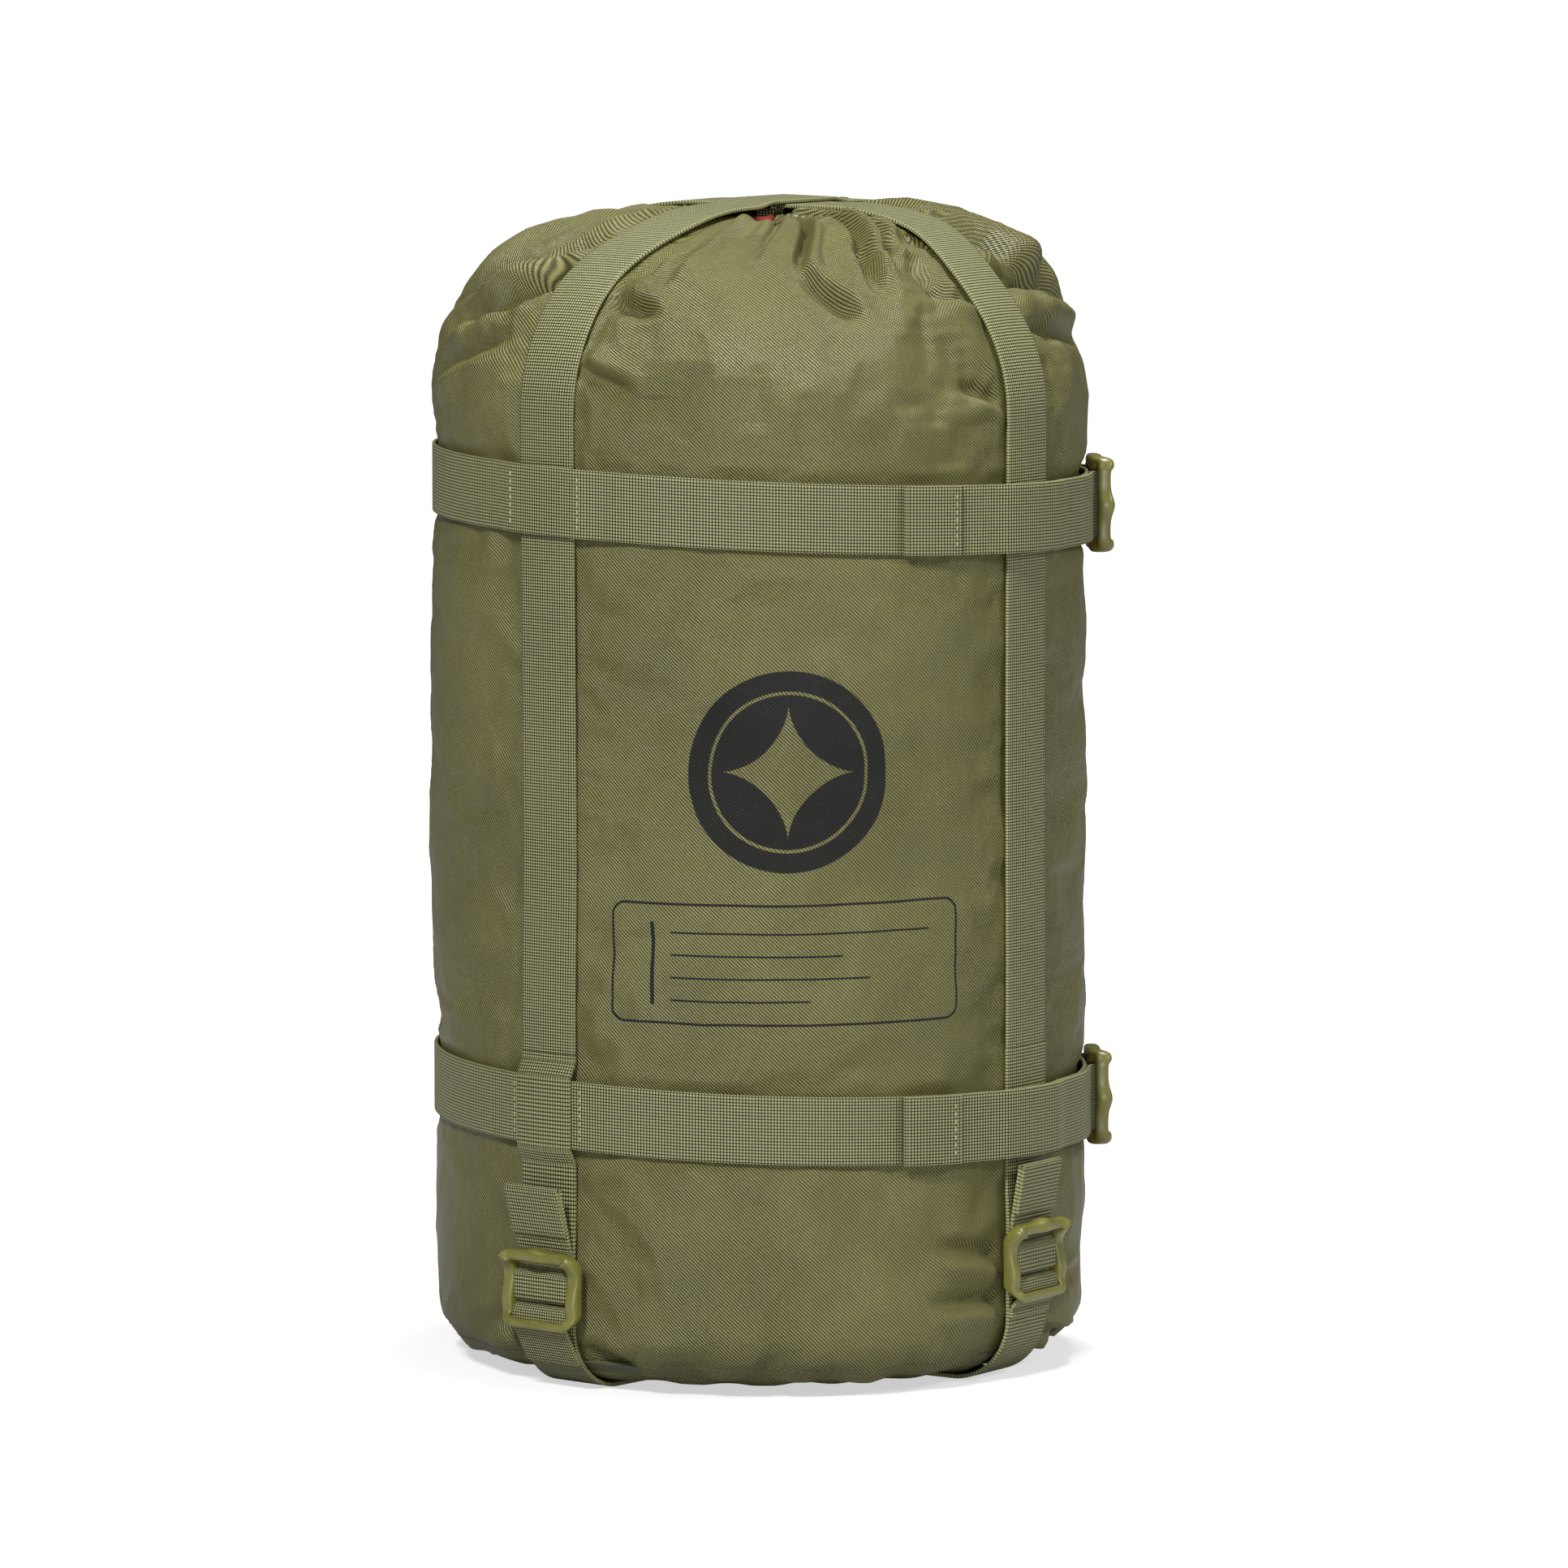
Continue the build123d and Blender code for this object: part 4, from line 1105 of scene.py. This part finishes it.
def lock_bars():
    """The fixed bar in the loop of webbing, and the locking bar."""
    clear()
    bpy.ops.mesh.primitive_cylinder_add(
        vertices=32, radius=1.75 * MM, depth=29 * MM, location=(0, 0, BAR_OFFSET * MM),
        rotation=(0, pi / 2, 0))
    fixed = bpy.context.object
    bpy.ops.object.transform_apply(location=True, rotation=True, scale=True)
    round_edges(fixed, 0.3, 2)
    clear()
    bpy.ops.mesh.primitive_cube_add(
        size=1, location=(0, 11.0 * MM, 3.4 * MM), scale=(29 * MM, 4 * MM, 2.4 * MM))
    locking = bpy.context.object
    bpy.ops.object.transform_apply(location=True, rotation=True, scale=True)
    round_edges(locking, 0.8, 4)
    return [fixed, locking]


def lock_pattern():
    piece = join([lock_frame(), *lock_bars()], "lock_pattern")
    soften(piece, 45)
    return piece


def place_lock(pattern, name, origin, across, along, outward):
    """One ladder lock: a copy of the pattern with its place in its own mesh."""
    mesh = pattern.data.copy()
    piece = bpy.data.objects.new(f"{name}_ladder_lock", mesh)
    bpy.context.scene.collection.objects.link(piece)
    turn = np.stack([across, along, outward])
    co = points_of(piece)
    set_points(piece, co @ turn + np.array(origin) * MM)
    dress(piece, MOULDING)
    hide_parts(f"ladder_lock_{name}")
    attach(piece, f"lock_{name}")


def locks():
    pattern = lock_pattern()
    up = np.array([0, 0, 1.0])
    for azimuth, name in FEET.items():
        origin = out(azimuth) * RADIUS + up * BAR_HEIGHTS[azimuth]
        place_lock(pattern, name, origin, side_of(azimuth), up, out(azimuth))
    for name, height in BELT_HEIGHTS.items():
        origin = belt_point(0, 0) + up * height
        across = np.cross(BELT_ALONG, BELT_NORMAL)
        place_lock(pattern, f"belt_{name}", origin, across, BELT_ALONG, BELT_NORMAL)
    bpy.data.objects.remove(pattern)


# ---- stitching ----


def thread_pattern(length):
    """One stitch: a short plump thread that dives in at both ends."""
    clear()
    bpy.ops.mesh.primitive_uv_sphere_add(segments=8, ring_count=6, radius=1.0)
    piece = bpy.context.object
    co = points_of(piece)
    co = np.stack([co[:, 0] * 0.34, co[:, 1] * 0.26, co[:, 2] * length / 2], 1)
    co[:, 1] -= 0.35 * (co[:, 2] / (length / 2)) ** 2
    faces = [list(p.vertices) for p in piece.data.polygons]
    bpy.data.objects.remove(piece)
    return co, faces


def stitches(name, lines, body, material=None):
    """Rows of stitches as one piece. Each line is a list of (place, along, outward)."""
    pattern, faces = thread_pattern(2.3)
    places, made = [], []
    for spot, along, outward in lines:
        along, outward = unit(along), unit(outward)
        turn = np.stack([np.cross(outward, along), outward, along])
        base = len(places) * len(pattern)
        places.append(pattern @ turn + np.array(spot))
        made += [[v + base for v in face] for face in faces]
    mesh = bpy.data.meshes.new(name)
    mesh.from_pydata((np.concatenate(places) * MM).tolist(), [], made)
    piece = bpy.data.objects.new(name, mesh)
    bpy.context.scene.collection.objects.link(piece)
    mesh.uv_layers.new(name="UVMap")
    soften(piece, 80)
    dress(piece, material or THREAD)
    if body:
        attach(piece, body)
    return piece


def sewn_across(line, at, across, lift=WEB_THICK / 2 + 0.12, width=WEB_WIDTH - 2.4, step=2.9):
    """A sewn line across webbing at a length along its line."""
    gone = run_length(line)
    spot = np.array([np.interp(at, gone, line[:, k]) for k in range(3)])
    index = int(np.clip(np.searchsorted(gone, at), 1, len(line) - 2))
    along = unit(line[index + 1] - line[index - 1])
    across = unit(across)
    outward = np.cross(across, along)
    count = int(width / step)
    spots = [spot + across * ((k - (count - 1) / 2) * step) + outward * lift for k in range(count)]
    return [(place, across, outward) for place in spots]


def belt_stitching(name):
    """Sewn lines on both sides of each long strap, across the tail's hem, and on the anchor."""
    lines = []
    half = np.degrees((WEB_WIDTH / 2 + 3.0) / RADIUS)
    for azimuth in FEET:
        for edge in (-half, half):
            at = (azimuth + edge + 180) % 360 - 180
            if 18 < at < 101:
                continue
            line = with_height(name, belt_arc(name, at - 2, at + 2, step=0.5))
            lines += sewn_across(line, run_length(line)[-1] / 2, (0, 0, -1))
    hem = with_height(name, belt_arc(name, 28, 33, LAYER + FOLD_STEP, 0.5))
    lines += sewn_across(hem, run_length(hem)[-1] * 0.46, (0, 0, -1))
    for at in (105.0, 118.0):
        line = with_height(name, belt_arc(name, at - 2, at + 2, FOLD_STEP, 0.5))
        lines += sewn_across(line, run_length(line)[-1] / 2, (0, 0, -1))
    line = with_height(name, belt_arc(name, 136, 141, 0.0, 0.5))
    lines += sewn_across(line, 3.0, (0, 0, -1))
    piece = stitches(f"{name}_belt_sewing", lines, "sack" if name == "lower" else "upper_belt")
    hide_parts(f"belt_{name}_stitching")


def tail_stitching():
    for azimuth, body in FEET.items():
        line = ladder_tail(azimuth)
        rows = sewn_across(line, run_length(line)[-1] - 2.2, side_of(azimuth))
        stitches(f"{body}_tail_sewing", rows, f"lock_{body}")


def seam_stitching():
    """The top-stitched line just over the base seam."""
    rows = []
    count = 250
    for k in range(count):
        turn = 2 * pi * k / count
        place, normal = skin_frame(np.array([0.012]), np.array([turn]))
        relief = skin_relief(place, np.array([turn]))
        spot = (place + normal * (relief + 0.12)[:, None])[0]
        rows.append((spot, side_of(np.degrees(turn)), normal[0]))
    stitches("base_seam_sewing", rows, "sack", SEAM_THREAD)


# ---- base, mouth and load ----


def base_cloth():
    """The round base: cloth drawn in from the seam, with soft puckers at its edge."""
    rows, cols = 44, 220
    piece, row, col = grid_piece("base_cloth", rows, cols + 1)
    share = row / (rows - 1)
    turn = col / cols * 2 * pi
    flat = RADIUS - CORNER_RADIUS
    seam_r = flat + CORNER_RADIUS * sin(radians(SEAM_ANGLE))
    r = np.where(share < 0.8, flat * share / 0.8, flat + (seam_r - flat) * (share - 0.8) / 0.2)
    z = CORNER_HEIGHT - np.sqrt(np.maximum(CORNER_RADIUS**2 - np.maximum(r - flat, 0) ** 2, 0))
    place = np.stack([r * np.sin(turn), -r * np.cos(turn), z], 1)
    wave = (np.sin(turn * 23) * 0.5 + clouds(place, 16, 31) * 1.0) * smooth(r, 80, 106)
    z = z + np.maximum(wave, -0.4) + 0.3
    z = np.where(share > 0.985, z + 1.2, z)
    r = np.where(share > 0.985, r - 0.8, r)
    place = np.stack([r * np.sin(turn), -r * np.cos(turn), z], 1)
    set_points(piece, place * MM)
    scale_uv(piece, (0.6, 0.115))
    edit(piece, lambda: bpy.ops.mesh.remove_doubles(threshold=1e-5))
    modifier(piece, "SOLIDIFY", thickness=0.6 * MM, offset=-1)
    soften(piece, 80)
    dress(piece, CLOTH)
    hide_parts("base_panel")
    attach(piece, "sack")


def mouth_gather():
    """The hem drawn up on its cord: a scalloped roll of cloth round the mouth."""
    clear()
    bpy.ops.mesh.primitive_torus_add(
        major_segments=220, minor_segments=28, major_radius=MOUTH_RADIUS * MM, minor_radius=4.0 * MM)
    piece = bpy.context.object
    piece.name = piece.data.name = "gathered_hem"
    co = points_of(piece) / MM
    turn = np.arctan2(co[:, 1], co[:, 0])
    ring = np.stack([np.cos(turn), np.sin(turn), np.zeros(len(turn))], 1)
    tube = co - ring * MOUTH_RADIUS
    depth = 1 + 0.16 * np.sin(turn * 24 + 1.5 * np.sin(turn * 5)) + 0.08 * np.sin(turn * 41)
    co = ring * MOUTH_RADIUS + tube * depth[:, None]
    co[:, 2] += MOUTH_HEIGHT + 0.4 * np.sin(turn * 3)
    co[:, 2] -= 7.0 * np.exp(-(((np.degrees(turn) + 96) / 22) ** 2))
    set_points(piece, co * MM)
    scale_uv(piece, (0.132, 0.025))
    soften(piece, 80)
    dress(piece, CLOTH)
    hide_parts("mouth_hem")
    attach(piece, "crown")


def packed_load(name, low, high, node, body):
    """One bundle of the load: a closed form inside the skin, crumpled where the mouth shows it."""
    rows, cols = 90, 120
    piece, row, col = grid_piece(name, rows, cols + 1)
    turn = col / cols * 2 * pi
    line, _ = outline(9.0)
    side = [p for p in line if low <= p[1] <= high and p[0] > 26]
    profile = [(0.0, side[0][1])] + [tuple(p) for p in side]
    if high > HEIGHT - 20:
        swell = ((25.0, -8), (16.6, -7), (15.6, 1), (14.0, 4.9), (10.0, -4), (0.0, -7))
        profile += [(r, MOUTH_HEIGHT + lift) for r, lift in swell]
    else:
        profile += [(0.0, side[-1][1])]
    profile = np.array(profile)
    gone = run_length(profile)
    at = row / (rows - 1) * gone[-1]
    r, z = np.interp(at, gone, profile[:, 0]), np.interp(at, gone, profile[:, 1])
    # The load swells forward where the mouth dips.
    turned = (np.degrees(turn) + 186) % 360 - 180
    front = np.exp(-((turned / 15) ** 2)) * smooth(r, 9, 14) * (z > MOUTH_HEIGHT - 2)
    r = r + 4.2 * front * (r < 16)
    place = np.stack([r * np.sin(turn), -r * np.cos(turn), z], 1)
    crumple = clouds(place, 9, 41) * 1.2 * smooth(-r, -30, -5)
    place[:, 2] += np.where(z > 400, np.minimum(crumple, 1.0), 0)
    set_points(piece, place * MM)
    edit(piece, lambda: bpy.ops.mesh.remove_doubles(threshold=1e-4))
    edit(piece, lambda: bpy.ops.mesh.normals_make_consistent(inside=False))
    soften(piece, 80)
    dress(piece, RED)
    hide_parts(node)
    if body == "crown":
        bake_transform(piece)
    else:
        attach(piece, body)


def lock_spring():
    """The cord lock's coil, built once at its rest length and not made to shorten as the button is
    pressed.
    """
    low, high = (np.array(corner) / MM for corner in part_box("cord_lock_spring"))
    wire, turns, travel = 0.35, 3, 4.0
    clear()
    bpy.ops.mesh.primitive_circle_add(
        vertices=10, radius=wire * MM, rotation=(pi / 2, 0, 0),
        location=((low[0] + wire) * MM, 0, ((high[1] - low[1]) / 2 - wire) * MM))
    piece = bpy.context.object
    piece.name = piece.data.name = "lock_spring"
    bpy.ops.object.transform_apply(location=True, rotation=True, scale=True)
    pitch = (high[0] - low[0] - 2 * wire) / turns
    modifier(
        piece, "SCREW", axis="X", angle=2 * pi, screw_offset=pitch * MM, iterations=turns,
        steps=24, render_steps=24)
    edit(piece, lambda: bpy.ops.mesh.fill_holes(sides=0))
    edit(piece, lambda: bpy.ops.mesh.normals_make_consistent(inside=False))
    middle = (low + high) / 2
    set_points(piece, points_of(piece) + np.array([0, middle[1], middle[2]]) * MM)
    soften(piece, 60)
    dress(piece, STEEL)
    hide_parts("cord_lock_spring")
    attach(piece, "crown")
    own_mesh(piece)


def mouth_tab():
    """The short ribbed tab behind the hem's front."""
    low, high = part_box("hem_tab")
    middle = np.array((low + high) / 2) / MM
    line = np.array([middle + [0, 0, z] for z in np.linspace(-2.6, 2.6, 9)])
    line[:, 1] += 0.4 * np.sin(np.linspace(0, 3, 9))
    piece = webbing("mouth_tab", line, (1, 0, 0), width=10.0)
    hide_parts("hem_tab")
    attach(piece, "crown")


def small_parts():
    """The drawcord, its lock and the seam tape keep their own shapes, and get their finishes."""
    for node, material in (
        ("mouth_drawcord", CORD), ("cord_lock_body", MOULDING), ("cord_lock_plunger", MOULDING),
        ("base_seam_binding", BINDING),
    ):
        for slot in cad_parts[node].material_slots:
            slot.material = material


# ---- room ----


def floor():
    clear()
    bpy.ops.mesh.primitive_plane_add(size=60)
    piece = bpy.context.object
    piece.name = "pale_floor"
    plain = Finish("pale_floor", Roughness=0.9, Base_Color=(0.45, 0.45, 0.45), Emission_Strength=1.0)
    away = plain.node("VectorMath", {"operation": "LENGTH"}, {0: plain.room()}, 1)
    seen = plain.node("LightPath")
    glow = seen * away.ramp(0.22, 1.5, 0.58, 1.0)
    plain.set("Emission Color", plain.shade(glow, (0, 0, 0), (1, 1, 1)))
    piece.data.materials.append(plain.material)


def lamp(name, size, power, place, target=(0, 0, 0.22)):
    light = bpy.data.lights.new(name, "AREA")
    light.shape, light.size, light.energy = "DISK", size, power
    holder = bpy.data.objects.new(name, light)
    bpy.context.scene.collection.objects.link(holder)
    holder.location = place
    holder.rotation_euler = (Vector(place) - Vector(target)).to_track_quat("Z", "Y").to_euler()


def room():
    world = bpy.data.worlds.new("soft_white")
    bpy.context.scene.world = world
    world.use_nodes = True
    tree = world.node_tree
    sky = tree.nodes["Background"]
    sky.inputs["Color"].default_value = (1, 1, 1, 1)
    backdrop = tree.nodes.new("ShaderNodeBackground")
    backdrop.inputs["Strength"].default_value = 1.4
    sky.inputs["Strength"].default_value = 0.12
    path, mix = tree.nodes.new("ShaderNodeLightPath"), tree.nodes.new("ShaderNodeMixShader")
    tree.links.new(path.outputs["Is Camera Ray"], mix.inputs[0])
    tree.links.new(sky.outputs[0], mix.inputs[1])
    tree.links.new(backdrop.outputs[0], mix.inputs[2])
    tree.links.new(mix.outputs[0], tree.nodes["World Output"].inputs[0])
    lamp("key", 0.5, 92, (-1.0, -2.0, 2.0))
    lamp("front", 0.45, 20, (0.25, -2.8, 0.30))
    lamp("fill", 0.6, 26, (1.9, -1.0, 1.5))
    lamp("top", 0.6, 56, (0.2, 0.0, 2.3))
    floor()


def camera():
    azimuth, elevation, distance = radians(-5.0), radians(6.5), 4.0
    target = Vector((0, 0, 0.213))
    lens = bpy.data.cameras.new("camera")
    holder = bpy.data.objects.new("camera", lens)
    bpy.context.scene.collection.objects.link(holder)
    away = Vector((sin(azimuth) * cos(elevation), -cos(azimuth) * cos(elevation), sin(elevation)))
    holder.location = target + away * distance
    holder.rotation_euler = away.to_track_quat("Z", "Y").to_euler()
    lens.sensor_width = 36.0
    lens.lens = 36.0 * distance / 0.5917
    lens.shift_x, lens.shift_y = 0.0162, 0.005
    lens.clip_end = 100
    bpy.context.scene.camera = holder
    view = bpy.context.scene.view_settings
    view.view_transform = "Standard"


camera()
skin()
base_cloth()
seam_stitching()
for strap, azimuth in STRAPS.items():
    strap_top(strap)
    strap_foot(strap, azimuth, strap == "a")
    strap_foot(strap, azimuth + 180, False)
    strap_under(strap)
    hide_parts(f"top_strap_{strap}")
for belt_name in BELT_HEIGHTS:
    belt(belt_name)
    belt_anchor(belt_name)
    belt_stitching(belt_name)
tail_stitching()
locks()
mouth_gather()
mouth_tab()
packed_load("packed_load_lower", 14.0, 238.5, "load_lower", "sack")
packed_load("packed_load_upper", 241.5, HEIGHT, "load_upper", "crown")
lock_spring()
small_parts()
room()
